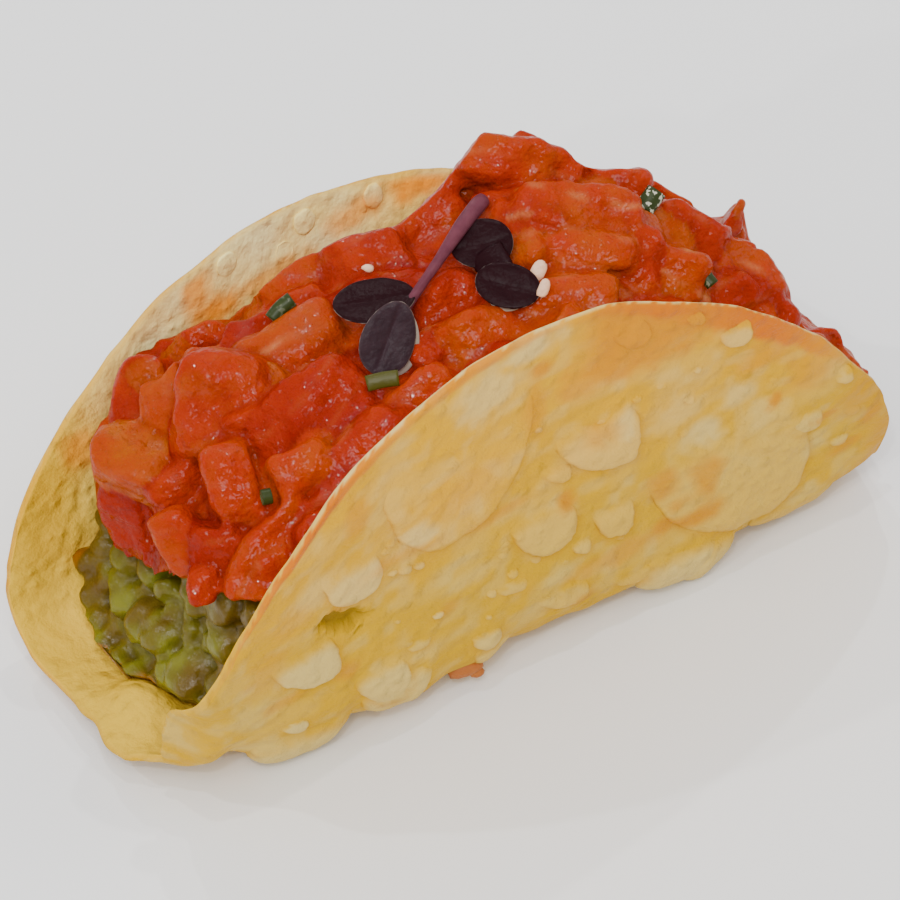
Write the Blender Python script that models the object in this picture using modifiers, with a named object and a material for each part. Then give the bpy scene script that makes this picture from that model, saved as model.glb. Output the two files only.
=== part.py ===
"""Mini taco: a fried round of dough folded into a trough, mashed avocado, diced salmon, two sprouts.

Metres, +Z up, long side along X, open end at -X, taller flap at -Y, standing on its flat foot.
"""
import math

import bmesh
import bpy
import numpy as np
from mathutils import Matrix, Vector, noise

MM = 0.001                      # sizes below are in millimetres

# --- folded round of dough ---
DOUGH = 1.4                     # thickness of the fried sheet
ROUND_X = 44.2                  # half length of the round along the fold
ROUND_S = 48.6                  # half length of the round across the fold
FOLD_SHIFT = -5.4               # round sits off the fold, so the near flap is taller
RIM_WAVES = (-0.050, 0.048, 0.026, -0.015, 0.004)   # cos2, cos3, sin3, cos4, sin4
NICK_AT, NICK_WIDE, NICK_DEEP = -2.80, 0.34, 0.075  # short rim at the open end, near side
LIP_LIFT = 1.5                  # the open end curls up this much at the nick
FOOT_HALF = 5.5                 # flat strip on each side of the fold line
FOOT_LONG = 16.0                # the foot stays flat this far from the middle
BEND = 14.5                     # length of sheet over which a flap turns up
NEAR_TURN = (86.5, 1.5, -16.8)  # flap angle in degrees: middle, slope, bow along X
FAR_TURN = (71.3, -20.6, 1.6)
NEAR_CURL, FAR_CURL = -0.10, 0.16   # degrees per millimetre beyond the bend
RIB_BOW, ROCKER = 0.0009, 0.0010    # sideways bow and lift of the ends per mm squared
RINGS, SPOKES = 17, 72
# blisters on the outside of the flaps: x, place across the fold, radius, height
BLISTERS = (
    (-8, -42, 10.0, 0.9), (6, -38, 7.0, 1.0), (1, -28, 5.5, 0.9), (9, -26, 4.0, 0.8),
    (18, -24, 8.5, 1.0), (-21, -36, 5.0, 0.8), (-17, -19, 5.5, 0.9), (-25, -22, 5.0, 0.8),
    (-2, -15, 4.5, 0.7), (30, -27, 4.0, 0.7), (20, -43, 3.5, 0.6), (-34, -17, 4.5, 0.9),
    (-27, -14, 5.0, 0.8), (8, -14, 5.0, 0.7), (25, -12, 5.0, 0.7), (34, -14, 4.0, 0.6),
    (-12, 30, 6.5, 0.7), (8, 27, 7.0, 0.8), (24, 22, 5.5, 0.7), (-28, 20, 5.0, 0.7), (-2, 38, 5.0, 0.6),
    (14, 14, 5.0, 0.7), (-16, 15, 5.0, 0.7),
)

# --- fillings ---
GAP = 0.4                       # between neighbouring solids
MASH_X = (-34.0, 36.0)          # avocado mash from the open end to the other
MASH_TOP = 15.3
MASH_TILT = -0.28               # its top rises towards the near flap
HEAP_X = (-30.4, 38.6)          # diced salmon
STATIONS = 31                   # sections along the heap, shared by the mash under it
HEAP_RIDGE = ((-31, 26.0), (-25, 31.5), (-12, 35.5), (0, 37.8), (10, 41.0), (15, 40.0), (20, 37.0),
              (30, 28.8), (35, 22.0), (39, 12.5))
HEAP_FAR = ((-31, 18.0), (-25, 22.5), (-16, 24.0), (10, 24.5), (16, 23.8), (20, 22.0), (30, 15.4), (39, 7.0))
HEAP_NEAR = ((-31, 24.0), (-20, 32.5), (-8, 35.0), (8, 34.5), (20, 30.5), (30, 22.5), (39, 10.0))
HEAP_MIDDLE = 2.0               # y of the ridge
OVERHANG_X = -26.5              # the front of the heap leans out over the mash from here
# lumps of the heap: x, y, radius, height
LUMPS = (
    (-22, 3, 6.0, 2.6), (-29, 6, 5.0, 1.6), (-26, -7, 5.0, 1.2), (-17, -7, 8.0, 1.0), (13, 8, 6.0, 2.6),
    (17, 0, 7.0, 1.0), (21, -7, 6.0, 1.2), (27, -8, 5.5, 1.4), (35, 5, 3.0, 3.2), (30, 4, 4.5, 1.0),
    (-12, 10, 5.5, 1.2), (-1, 12, 6.0, 1.0), (38, -4, 3.5, 1.6), (5, -11, 6.0, 0.8),
)
HEAP_GRAIN = 0.5                # height of the small unevenness

# --- sprouts ---
LEAF_THICK = 0.7
LONG_LIFT, PAIR_LIFT = 0.9, 1.7 # clear height of the leaves over the salmon
LEAF_ROOT = 0.9                 # length by which a leaf reaches over the joint
STEM_R = (0.80, 0.45)           # top and bottom radius
STEM_PATH = ((7.1, 4.4, 1.2), (4.0, 3.2, 1.3), (0.3, 1.2, 1.3))    # x, y, height over the salmon
# leaves: length, half width, direction in degrees from +X, drop per length
LONG_JOINT, LONG_LEAVES = (-3.3, -0.7), ((8.2, 2.7, 162.5, 0.0), (10.6, 3.2, 226.0, 0.10))
PAIR_JOINT, PAIR_LEAVES = (3.2, -5.0), ((5.6, 3.3, 80.0, 0.0), (6.8, 3.5, -98.0, 0.0))

COLOURS = {                     # colour, roughness
    "fried_dough": ((0.62, 0.43, 0.19), 0.45),
    "avocado": ((0.28, 0.32, 0.06), 0.40),
    "salmon": ((0.62, 0.09, 0.015), 0.22),
    "cress": ((0.035, 0.02, 0.03), 0.35),
}


def clear_scene():
    for ob in list(bpy.data.objects):
        bpy.data.objects.remove(ob, do_unlink=True)


def collection(name):
    coll = bpy.data.collections.new(name)
    bpy.context.scene.collection.children.link(coll)
    return coll


def material(name):
    colour, rough = COLOURS[name]
    mat = bpy.data.materials.get(name) or bpy.data.materials.new(name)
    mat.use_nodes = True
    bsdf = mat.node_tree.nodes["Principled BSDF"]
    bsdf.inputs["Base Color"].default_value = (*colour, 1.0)
    bsdf.inputs["Roughness"].default_value = rough
    bsdf.inputs["Metallic"].default_value = 0.0
    return mat


def smoothstep(t):
    t = np.clip(t, 0.0, 1.0)
    return t * t * (3.0 - 2.0 * t)


def flap_angle(x, s):
    """Angle of the sheet against the table, in radians, at x and s across the fold."""
    u = x / 45.0
    near, far = (c[0] + c[1] * u + c[2] * u * u for c in (NEAR_TURN, FAR_TURN))
    turn = np.where(s > 0, far, near)
    curl = np.where(s > 0, FAR_CURL, NEAR_CURL)
    along = np.abs(s)
    over = np.maximum(along - FOOT_HALF - BEND, 0.0)
    return np.radians(turn * smoothstep((along - FOOT_HALF) / BEND) + curl * over)


def fold(x, s, inset=0.0):
    """Point of the sheet at x and s, moved inwards by inset; the foot of the middle sheet is z = 0."""
    steps = 80
    part = (np.arange(steps) + 0.5) / steps
    angle = flap_angle(np.full(steps, x), s * part)
    end = float(flap_angle(np.array([x]), np.array([s]))[0])
    side = 1.0 if s > 0 else -1.0
    y = side * float(np.cos(angle).sum()) * abs(s) / steps + RIB_BOW * x * x
    z = float(np.sin(angle).sum()) * abs(s) / steps
    z += ROCKER * max(abs(x) - FOOT_LONG, 0.0) * (abs(x) + FOOT_LONG)
    z += LIP_LIFT * float(smoothstep(-(x + 26.0) / 13.0)) * math.exp(-((s + 9.0) / 13.0) ** 2)
    return y - side * inset * math.sin(end), z + inset * math.cos(end)


def rim(theta):
    """Edge of the round: x and place across the fold."""
    c2, c3, s3, c4, s4 = RIM_WAVES
    r = 1 + c2 * math.cos(2 * theta) + c3 * math.cos(3 * theta) + s3 * math.sin(3 * theta)
    r += c4 * math.cos(4 * theta) + s4 * math.sin(4 * theta)
    off = math.remainder(theta - NICK_AT, 2 * math.pi) / NICK_WIDE
    r -= NICK_DEEP * math.exp(-off * off)
    r += 0.008 * noise.noise(Vector((3 * math.cos(theta), 3 * math.sin(theta), 4.0)))
    return ROUND_X * math.cos(theta) * r, FOLD_SHIFT + ROUND_S * math.sin(theta) * r


def blister(x, s):
    """Outward bulge of the sheet."""
    h = 0.0
    for bx, bs, r, high in BLISTERS:
        d2 = ((x - bx) ** 2 + (s - bs) ** 2) / (r * r)
        if d2 < 1.0:
            h = max(h, high * (1.0 - d2) ** 0.6)
    return h


def new_object(name, mat, coll, bm):
    mesh = bpy.data.meshes.new(name)
    bm.to_mesh(mesh)
    bm.free()
    ob = bpy.data.objects.new(name, mesh)
    mesh.materials.append(material(mat))
    coll.objects.link(ob)
    return ob


def modifier(ob, kind, **values):
    mod = ob.modifiers.new(kind.lower(), kind)
    for key, value in values.items():
        setattr(mod, key, value)
    return mod


def make_shell(coll):
    """A grid wrapped into rings and spokes, folded, blistered and given its thickness."""
    bm = bmesh.new()
    bmesh.ops.create_grid(bm, x_segments=SPOKES, y_segments=RINGS, size=1.0)
    for v in bm.verts:
        theta = math.pi * v.co.x
        part = (v.co.y + 1.0) / 2.0
        rx, rs = rim(theta)
        x, s = part * rx, part * rs
        y, z = fold(x, s, inset=-blister(x, s))
        v.co = Vector((x, y, z)) * MM
    bmesh.ops.remove_doubles(bm, verts=bm.verts, dist=0.00001)
    bmesh.ops.recalc_face_normals(bm, faces=bm.faces)
    ob = new_object("shell", "fried_dough", coll, bm)
    modifier(ob, "SOLIDIFY", thickness=DOUGH * MM, offset=0.0, use_even_offset=False)
    return ob


def wall(x):
    """Inner face of the trough at x as points from the near rim over the fold to the far rim."""
    inset = DOUGH / 2 + GAP
    return [fold(x, s, inset) for s in np.linspace(-56.0, 46.0, 120)]


def crossing(line, x, height, far):
    """Position along the wall line where it reaches the given height, searched from the fold up."""
    mid = min(range(len(line)), key=lambda i: line[i][1])
    step = 1 if far else -1
    i = mid
    while 0 < i < len(line) - 1 and line[i][1] < height(x, line[i][0]):
        i += step
    j = i - step
    a = line[j][1] - height(x, line[j][0])
    b = line[i][1] - height(x, line[i][0])
    return j + step * (a / (a - b) if a != b else 0.0)


def on_line(line, at):
    i = min(int(at), len(line) - 2)
    t = at - i
    return tuple(p + (q - p) * t for p, q in zip(line[i], line[i + 1]))


def spread(a, b, count, ends=True):
    """Evenly placed numbers from a to b, with or without the two ends."""
    full = np.linspace(a, b, count if ends else count + 2)
    return full if ends else full[1:-1]


def mash_top(x, y):
    rise = smoothstep((x - MASH_X[0] + 0.4) / 6.4)
    fall = smoothstep((MASH_X[1] + 0.6 - x) / 14.0)
    base = 1.6 + ROCKER * x * x
    level = MASH_TOP + MASH_TILT * y + 0.5 * noise.noise(Vector((x / 6, y / 6, 1.0)))
    return base + (level - base) * float(rise) * (0.25 + 0.75 * float(fall))


def table(x, rows):
    return float(np.interp(x, [r[0] for r in rows], [r[1] for r in rows]))


def heap_top(x, y):
    """Upper surface of the salmon."""
    ridge = table(x, HEAP_RIDGE)
    off = y - HEAP_MIDDLE
    if off > 0:
        z = ridge - (ridge - table(x, HEAP_FAR)) * (off / 21.0) ** 2
    else:
        z = ridge - (ridge - table(x, HEAP_NEAR)) * (off / 20.0) ** 2
    for lx, ly, r, high in LUMPS:
        d2 = ((x - lx) ** 2 + (y - ly) ** 2) / (r * r)
        z += high * max(0.0, 1.0 - d2) ** 0.5 if d2 < 1.0 else 0.0
    return z + HEAP_GRAIN * noise.noise(Vector((x / 3.2, y / 3.2, 7.0)))


def heap_low(x, y):
    """Lower surface of the salmon; its front overhangs the mash."""
    front = max(OVERHANG_X - x, 0.0)
    return mash_top(x, y) + GAP + 0.1 + 1.1 * front


def mash_ring(x):
    line = wall(x)
    near, far = crossing(line, x, mash_top, False), crossing(line, x, mash_top, True)
    ring = [on_line(line, at) for at in spread(near, far, 13)]
    ys = spread(ring[-1][0], ring[0][0], 9, ends=False)
    return ring + [(y, mash_top(x, y)) for y in ys]


def heap_ring(x):
    line = wall(x)
    low_n, low_f = crossing(line, x, heap_low, False), crossing(line, x, heap_low, True)
    top_n, top_f = crossing(line, x, heap_top, False), crossing(line, x, heap_top, True)
    a, b = on_line(line, low_n), on_line(line, low_f)
    c, d = on_line(line, top_f), on_line(line, top_n)
    ring = [a] + [(y, heap_low(x, y)) for y in spread(a[0], b[0], 9, ends=False)] + [b]
    ring += [on_line(line, at) for at in spread(low_f, top_f, 2, ends=False)] + [c]
    ring += [(y, heap_top(x, y)) for y in spread(c[0], d[0], 14, ends=False)] + [d]
    return ring + [on_line(line, at) for at in spread(top_n, low_n, 3, ends=False)]


def shrunk(ring, keep):
    """The ring drawn in towards its middle."""
    my = sum(p[0] for p in ring) / len(ring)
    mz = sum(p[1] for p in ring) / len(ring)
    return [(my + (y - my) * keep, mz + (z - mz) * keep) for y, z in ring]


def loft(name, mat, coll, rings):
    """Closed solid through rings of equal length, given as (x, [(y, z), ...])."""
    bm = bmesh.new()
    rows = [[bm.verts.new(Vector((x, y, z)) * MM) for y, z in ring] for x, ring in rings]
    for low, high in zip(rows, rows[1:]):
        for i in range(len(low)):
            j = (i + 1) % len(low)
            bm.faces.new((low[i], low[j], high[j], high[i]))
    for (x, ring), row, push in ((rings[0], rows[0], -0.5), (rings[-1], rows[-1], 0.5)):
        my, mz = shrunk(ring, 0.0)[0]
        tip = bm.verts.new(Vector((x + push, my, mz)) * MM)
        for i in range(len(row)):
            bm.faces.new((row[i], row[(i + 1) % len(row)], tip))
    bmesh.ops.recalc_face_normals(bm, faces=bm.faces)
    return new_object(name, mat, coll, bm)


def make_mash(coll):
    under = [x for x in spread(*HEAP_X, STATIONS) if x < MASH_X[1] - 0.3]
    xs = list(spread(MASH_X[0], HEAP_X[0], 3)) + under[1:] + [MASH_X[1]]
    rings = [(x, mash_ring(x)) for x in xs]
    return loft("guacamole", "avocado", coll, rings)


def make_heap(coll):
    xs = spread(*HEAP_X, STATIONS)
    rings = [(x, heap_ring(x)) for x in xs]
    first, last = rings[0], rings[-1]
    rings.insert(0, (first[0] - 1.3, shrunk(first[1], 0.86)))
    rings.append((last[0] + 0.9, shrunk(last[1], 0.7)))
    return loft("salmon_tartare", "salmon", coll, rings)


def leaf_ground(joint, row):
    """Highest salmon under a leaf."""
    length, half_wide, turn, drop = row
    ca, sa = math.cos(math.radians(turn)), math.sin(math.radians(turn))
    spots = [(a * length, b * half_wide) for a in spread(0, 1, 6) for b in (-1, -0.5, 0, 0.5, 1)]
    return max(heap_top(joint[0] + u * ca - v * sa, joint[1] + u * sa + v * ca) + drop * u for u, v in spots)


def leaf(name, coll, joint, level, row):
    """Thin cupped leaf that starts at the joint."""
    length, half_wide, turn, drop = row
    ca, sa = math.cos(math.radians(turn)), math.sin(math.radians(turn))
    bm = bmesh.new()
    bmesh.ops.create_uvsphere(bm, u_segments=18, v_segments=8, radius=1.0)
    for v in bm.verts:
        px, py, pz = v.co
        du = (px + 1) / 2 * (length + LEAF_ROOT) - LEAF_ROOT
        dv = py * half_wide
        dz = 0.035 * dv * dv + 0.004 * du * du - drop * du + pz * LEAF_THICK / 2
        v.co = Vector((joint[0] + du * ca - dv * sa, joint[1] + du * sa + dv * ca, level + dz)) * MM
    return new_object(name, "cress", coll, bm)


def stalk(name, coll, points, radii):
    """Tapered round stalk through the points."""
    curve = bpy.data.curves.new(name, "CURVE")
    curve.dimensions = "3D"
    curve.bevel_depth = MM
    curve.bevel_resolution = 2
    curve.resolution_u = 6
    curve.use_fill_caps = True
    line = curve.splines.new("BEZIER")
    line.bezier_points.add(len(points) - 1)
    for i, (bp, at) in enumerate(zip(line.bezier_points, points)):
        bp.co = Vector(at) * MM
        bp.handle_left_type = bp.handle_right_type = "AUTO"
        bp.radius = radii[0] + (radii[1] - radii[0]) * i / (len(points) - 1)
    temp = bpy.data.objects.new(name + "_line", curve)
    coll.objects.link(temp)
    mesh = bpy.data.meshes.new_from_object(temp.evaluated_get(bpy.context.evaluated_depsgraph_get()))
    bpy.data.objects.remove(temp, do_unlink=True)
    bm = bmesh.new()
    bm.from_mesh(mesh)
    bmesh.ops.remove_doubles(bm, verts=bm.verts, dist=0.00001)
    bmesh.ops.recalc_face_normals(bm, faces=bm.faces)
    return new_object(name, "cress", coll, bm)


def join_solids(base, others, tools):
    """Weld the other solids to the base with exact unions."""
    for other in others:
        tools.objects.link(other)
        for coll in list(other.users_collection):
            if coll != tools:
                coll.objects.unlink(other)
        other.hide_render = True
        other.display_type = "WIRE"
        modifier(base, "BOOLEAN", operation="UNION", object=other, solver="EXACT")


def sprout(name, coll, tools, joint, leaves, path, lift):
    level = max(leaf_ground(joint, row) for row in leaves) + lift
    solids = [leaf(name if i == 0 else f"{name}_{i}", coll, joint, level, row)
              for i, row in enumerate(leaves)]
    if path:
        line = [(x, y, max(heap_top(x, y) + rise, level)) for x, y, rise in path] + [(*joint, level)]
        solids.append(stalk(name + "_stem", coll, line, STEM_R))
    join_solids(solids[0], solids[1:], tools)
    return solids[0]


def centre(objects):
    """Put the middle of the box over the origin and the foot on z = 0."""
    bpy.context.view_layer.update()
    graph = bpy.context.evaluated_depsgraph_get()
    points = []
    for ob in objects:
        done = ob.evaluated_get(graph)
        points += [done.matrix_world @ v.co for v in done.to_mesh().vertices]
        done.to_mesh_clear()
    low = Vector(min(p[i] for p in points) for i in range(3))
    high = Vector(max(p[i] for p in points) for i in range(3))
    shift = Vector((-(low.x + high.x) / 2, -(low.y + high.y) / 2, -low.z))
    for ob in bpy.data.objects:
        ob.data.transform(Matrix.Translation(shift))


def main():
    clear_scene()
    coll, tools = collection("mini_taco"), collection("cutters")
    parts = [make_shell(coll), make_mash(coll), make_heap(coll),
             sprout("sprout_long", coll, tools, LONG_JOINT, LONG_LEAVES, STEM_PATH, LONG_LIFT),
             sprout("sprout_pair", coll, tools, PAIR_JOINT, PAIR_LEAVES, (), PAIR_LIFT)]
    centre(parts)


main()
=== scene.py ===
import math

import bmesh
import bpy
import numpy as np
from mathutils import Matrix, Vector
from mathutils.bvhtree import BVHTree


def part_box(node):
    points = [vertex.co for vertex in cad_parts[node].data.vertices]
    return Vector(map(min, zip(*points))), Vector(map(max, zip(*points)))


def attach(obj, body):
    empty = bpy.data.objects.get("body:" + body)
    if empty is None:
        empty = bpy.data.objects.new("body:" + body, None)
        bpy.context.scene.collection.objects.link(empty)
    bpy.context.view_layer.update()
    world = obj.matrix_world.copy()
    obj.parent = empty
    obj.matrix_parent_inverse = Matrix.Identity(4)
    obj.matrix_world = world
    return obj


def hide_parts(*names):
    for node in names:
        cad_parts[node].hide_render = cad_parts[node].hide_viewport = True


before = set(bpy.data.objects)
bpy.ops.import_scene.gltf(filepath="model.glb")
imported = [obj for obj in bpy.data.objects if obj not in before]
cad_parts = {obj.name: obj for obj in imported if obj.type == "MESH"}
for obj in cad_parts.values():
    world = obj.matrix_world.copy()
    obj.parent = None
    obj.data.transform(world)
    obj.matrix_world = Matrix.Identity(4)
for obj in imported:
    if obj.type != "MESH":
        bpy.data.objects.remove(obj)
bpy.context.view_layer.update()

MM = 0.001                      # sizes below are in millimetres

# The fold line's middle, from which all positions are counted, seen from the shell's lowest corner.
SHELL_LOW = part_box("shell")[0]
ORIGIN = np.array(SHELL_LOW) / MM + (39.60, 21.06, 0.70)

# --- folded round of dough, as in the CAD ---
ROUND_X, ROUND_S, FOLD_SHIFT = 44.2, 48.6, -5.4
RIM_WAVES = (-0.050, 0.048, 0.026, -0.015, 0.004)
# local changes of the rim: angle in degrees, share of the radius
RIM_CHANGE = (
    (-180, 0.017), (-177, 0.012), (-174.5, -0.016), (-172, -0.043), (-169, -0.020), (-165, -0.004), (-158, 0.0),
    (-152, -0.006), (-148, -0.014), (-144, -0.022), (-138, -0.014), (-130, -0.006), (-120, 0.0), (-45, 0.0),
    (-30, -0.005), (-22, -0.020), (-14, -0.056), (-6, -0.064), (0, -0.037), (6, -0.007), (14, 0.004), (70, 0.000), (90, -0.001),
    (108, -0.006), (124, -0.001), (133, 0.002), (140, 0.002), (146, 0.009), (153, 0.005), (160, -0.002), (168, -0.013), (174, -0.008), (180, 0.017),
)
# how far the sheet swells outwards along the turn into the near flap: x, amount
UNDERSIDE = (
    (-40, -0.2), (-35, -0.1), (-31.5, -1.4), (-28, -0.4), (-22, -0.3), (-19.5, -0.7), (-17, -0.3), (-12, 0.1),
    (-9, -0.4), (-6, -0.1), (-3, -0.9), (2, -0.5), (8, -0.3), (11, -0.1), (14, 0.3), (18, 0.7), (21, 0.3),
    (23, -0.2), (27, 0.2), (31, 0.5), (34, 0.3), (45, 0.0),
)
# local swellings of the whole sheet towards the outside: x, place across, half sizes, amount
SWELLS = (
    (-34.6, -2.6, 3.0, 3.9, -2.9), (-30.5, 26.0, 4.0, 5.0, 0.4), (-36.0, 13.0, 5.0, 4.0, 0.4),
    (-34.0, 20.5, 3.0, 2.5, -0.4), (-5.0, 40.5, 7.0, 3.0, 0.3), (12.0, 38.0, 5.0, 4.0, -0.3),
)
# the near flap's lower corner at the open end curls in: place, half sizes, shift
CURL_AT, CURL_HALF, CURL_SHIFT = (-39.5, -19.0), (4.2, 7.4), (0.8, 2.9, 3.6)
LIP_LIFT = 1.5
FOOT_HALF, FOOT_LONG, BEND = 5.5, 16.0, 14.5
NEAR_TURN, FAR_TURN = (86.5, 1.5, -16.8), (71.3, -20.6, 1.6)
NEAR_CURL, FAR_CURL = -0.10, 0.16
RIB_BOW, ROCKER = 0.0009, 0.0010
SHEET = 1.25                    # thickness of the fried sheet away from its rim
GRID_U, GRID_V = 186, 196       # cells along and across the fold

# blisters on the outside of the near flap: x, place across the fold, half sizes as seen from the open front
# (sideways, up), tilt, height, flatness, pale
NEAR_DOMES = (
    (-9.4, -45.2, 8.7, 5.4, 56, 0.76, 9.0, 0.05),
    (5.5, -39.8, 4.0, 3.4, 6, 0.86, 7.5, 0.45),
    (-0.2, -31.2, 3.1, 3.2, 20, 0.83, 6.6, 0.35),
    (7.5, -28.2, 1.9, 2.5, 0, 0.69, 5.1, 0.30),
    (1.2, -37.0, 1.45, 0.95, 0, 0.56, 4.5, 0.30),
    (4.0, -25.6, 1.05, 1.00, 0, 0.52, 2.8, 0.40),
    (8.5, -51.6, 1.70, 1.45, 0, 0.23, 5.1, 0.25),
    (15.2, -50.0, 0.85, 0.60, 0, 0.18, 2.6, 0.35),
    (19.5, -46.0, 1.55, 1.45, 20, 0.36, 5.1, 0.55),
    (15.8, -43.0, 0.50, 0.60, 0, 0.20, 2.4, 0.55),
    (31.6, -33.8, 0.95, 0.90, 0, 0.32, 2.8, 0.50),
    (28.0, -29.6, 1.70, 1.75, 10, 0.49, 5.1, 0.50),
    (32.6, -23.4, 1.00, 1.00, 0, 0.36, 2.8, 0.45),
    (33.4, -27.4, 0.80, 0.70, 0, 0.28, 2.6, 0.30),
    (20.3, -28.6, 8.0, 7.4, 20, 0.76, 7.5, 0.30),
    (10.0, -17.6, 2.10, 1.15, 8, 0.33, 4.5, 0.25),
    (-21.2, -38.2, 3.0, 3.0, 25, 0.63, 9.0, 0.75),
    (-15.3, -34.8, 0.85, 0.65, 0, 0.48, 2.4, 0.50),
    (-13.8, -34.3, 0.65, 0.50, 0, 0.40, 2.4, 0.50),
    (-16.6, -35.2, 0.60, 0.45, 0, 0.36, 2.4, 0.50),
    (-25.6, -28.4, 3.2, 2.7, 12, 0.76, 7.5, 0.75),
    (-17.3, -20.7, 2.6, 2.7, 10, 0.76, 6.0, 0.70),
    (-11.5, -25.8, 0.60, 0.50, 0, 0.32, 2.2, 0.70),
    (-6.0, -18.8, 1.5, 1.35, 25, 0.53, 4.5, 0.65),
    (2.3, -19.8, 2.6, 1.60, 10, 0.40, 4.5, 0.35),
    (-1.0, -44.2, 0.50, 0.45, 0, 0.24, 2.2, 0.45),
    (-3.5, -24.5, 1.6, 0.9, 15, 0.23, 4.5, 0.35),
    (-13.5, -23.0, 1.3, 0.8, 20, 0.20, 4.2, 0.40),
    (-26.5, -19.0, 1.4, 0.9, 0, 0.26, 4.2, 0.80),
)
# blisters that make the lower outline: x, place across the fold, half sizes along these, turn, height, flatness, pale
EDGE_DOMES = (
    (-24.7, -14.2, 5.2, 4.6, 0, 1.75, 2.6, 0.80),
    (-15.5, -18.0, 3.6, 4.2, -10, 0.90, 3.0, 0.70),
    (-4.8, -16.4, 2.1, 2.6, 0, 0.50, 2.6, 0.55),
    (15.4, -16.0, 4.3, 5.0, 0, 1.10, 3.0, 0.75),
    (19.0, -14.8, 3.2, 4.4, 0, 1.60, 2.6, 0.70),
    (29.0, -15.5, 4.8, 4.4, 0, 0.50, 2.6, 0.30),
)
# sideways and up of the open front's view for a step along x, and up for a step up the near flap
SEEN_X, SEEN_UP = (0.845, 0.394), 0.7165


def smoothstep(t):
    t = np.clip(t, 0.0, 1.0)
    return t * t * (3.0 - 2.0 * t)


def grain(points, size, seed=0):
    """Smooth value noise between -1 and 1, features about size across."""
    q = np.asarray(points, float) / size + 512.0
    cell = np.floor(q).astype(np.int64)
    f = q - cell
    f = f * f * f * (f * (f * 6 - 15) + 10)
    total = np.zeros(q.shape[:-1])
    for corner in range(8):
        bits = np.array([corner & 1, (corner >> 1) & 1, (corner >> 2) & 1])
        c = cell + bits
        h = (c[..., 0] * 73856093) ^ (c[..., 1] * 19349663) ^ (c[..., 2] * 83492791) ^ (seed * 26543576 + 977)
        h = ((h ^ (h >> 13)) * 1274126177) & 0xFFFFFFFF
        h = ((h ^ (h >> 16)) * 668265263) & 0xFFFFFFFF
        value = h / 2147483648.0 - 1.0
        total += value * np.prod(np.where(bits, f, 1 - f), axis=-1)
    return total


def eased_table(at, rows):
    """Value at each point of a table of (place, value) rows, eased between them."""
    at = np.asarray(at, float)
    places, values = np.array(rows, float).T
    i = np.clip(np.searchsorted(places, at, side="right") - 1, 0, len(places) - 2)
    t = smoothstep((at - places[i]) / (places[i + 1] - places[i]))
    return values[i] + (values[i + 1] - values[i]) * t


def flap_angle(x, s):
    u = x / 45.0
    near, far = (c[0] + c[1] * u + c[2] * u * u for c in (NEAR_TURN, FAR_TURN))
    turn, curl = np.where(s > 0, far, near), np.where(s > 0, FAR_CURL, NEAR_CURL)
    along = np.abs(s)
    over = np.maximum(along - FOOT_HALF - BEND, 0.0)
    return np.radians(turn * smoothstep((along - FOOT_HALF) / BEND) + curl * over)


def fold(x, s, out=0.0):
    """Points of the sheet at x and s, moved outwards by out, in millimetres about the fold's middle."""
    x, s, out = np.broadcast_arrays(*(np.asarray(a, float) for a in (x, s, out)))
    steps = 48
    y, z = np.zeros(x.shape), np.zeros(x.shape)
    for k in range(steps):
        a = flap_angle(x, s * (k + 0.5) / steps)
        y += np.cos(a)
        z += np.sin(a)
    length = np.abs(s) / steps
    side = np.where(s > 0, 1.0, -1.0)
    end = flap_angle(x, s)
    y = side * y * length + RIB_BOW * x * x
    z = z * length + ROCKER * np.maximum(np.abs(x) - FOOT_LONG, 0.0) * (np.abs(x) + FOOT_LONG)
    z = z + LIP_LIFT * smoothstep(-(x + 26.0) / 13.0) * np.exp(-((s + 9.0) / 13.0) ** 2)
    p = np.stack([x, y + side * out * np.sin(end), z - out * np.cos(end)], -1)
    near = ((x - CURL_AT[0]) / CURL_HALF[0]) ** 2 + ((s - CURL_AT[1]) / CURL_HALF[1]) ** 2
    return p + np.exp(-near)[..., None] * np.array(CURL_SHIFT)


def rim(theta):
    """Edge of the round: x and place across the fold."""
    c2, c3, s3, c4, s4 = RIM_WAVES
    r = 1 + c2 * np.cos(2 * theta) + c3 * np.cos(3 * theta) + s3 * np.sin(3 * theta)
    r = r + c4 * np.cos(4 * theta) + s4 * np.sin(4 * theta)
    degrees = np.degrees(np.remainder(theta + math.pi, 2 * math.pi) - math.pi)
    r = r + eased_table(degrees, RIM_CHANGE)
    ring = np.stack([np.cos(theta), np.sin(theta), np.zeros_like(theta)], -1)
    r = r + 0.0045 * grain(ring * 6, 1.0, 3) + 0.0022 * grain(ring * 22, 1.0, 4)
    return np.stack([ROUND_X * np.cos(theta) * r, FOLD_SHIFT + ROUND_S * np.sin(theta) * r], -1)


def eased(count, dense=0.0, edge=(0.0, 0.0012, 0.0035, 0.007, 0.012)):
    """count + 1 numbers from 0 to 1, close together at both ends; dense > 0 puts more of them low."""
    middle = np.linspace(0, 1, count + 1 - 2 * (len(edge) - 1))
    middle = middle + dense * middle * (middle - 1) * (1 - 0.4 * middle)
    middle = edge[-1] + (1 - 2 * edge[-1]) * middle
    return np.concatenate([edge[:-1], middle, 1 - np.array(edge[:-1])[::-1]])


def sheet_grid():
    """x and s on a grid that fills the round: rows along the fold, columns across."""
    u, v = eased(GRID_U), eased(GRID_V, dense=0.42)
    deg = np.radians
    low, high = rim(deg(-150 + 125 * u)), rim(deg(150 - 125 * u))
    left, right = rim(deg(-150 - 60 * v)), rim(deg(-25 + 50 * v))
    uu, vv = u[:, None, None], v[None, :, None]
    p = (1 - vv) * low[:, None] + vv * high[:, None] + (1 - uu) * left[None] + uu * right[None]
    p = p - (1 - uu) * (1 - vv) * low[0] - uu * (1 - vv) * low[-1]
    p = p - (1 - uu) * vv * high[0] - uu * vv * high[-1]
    return p


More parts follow.
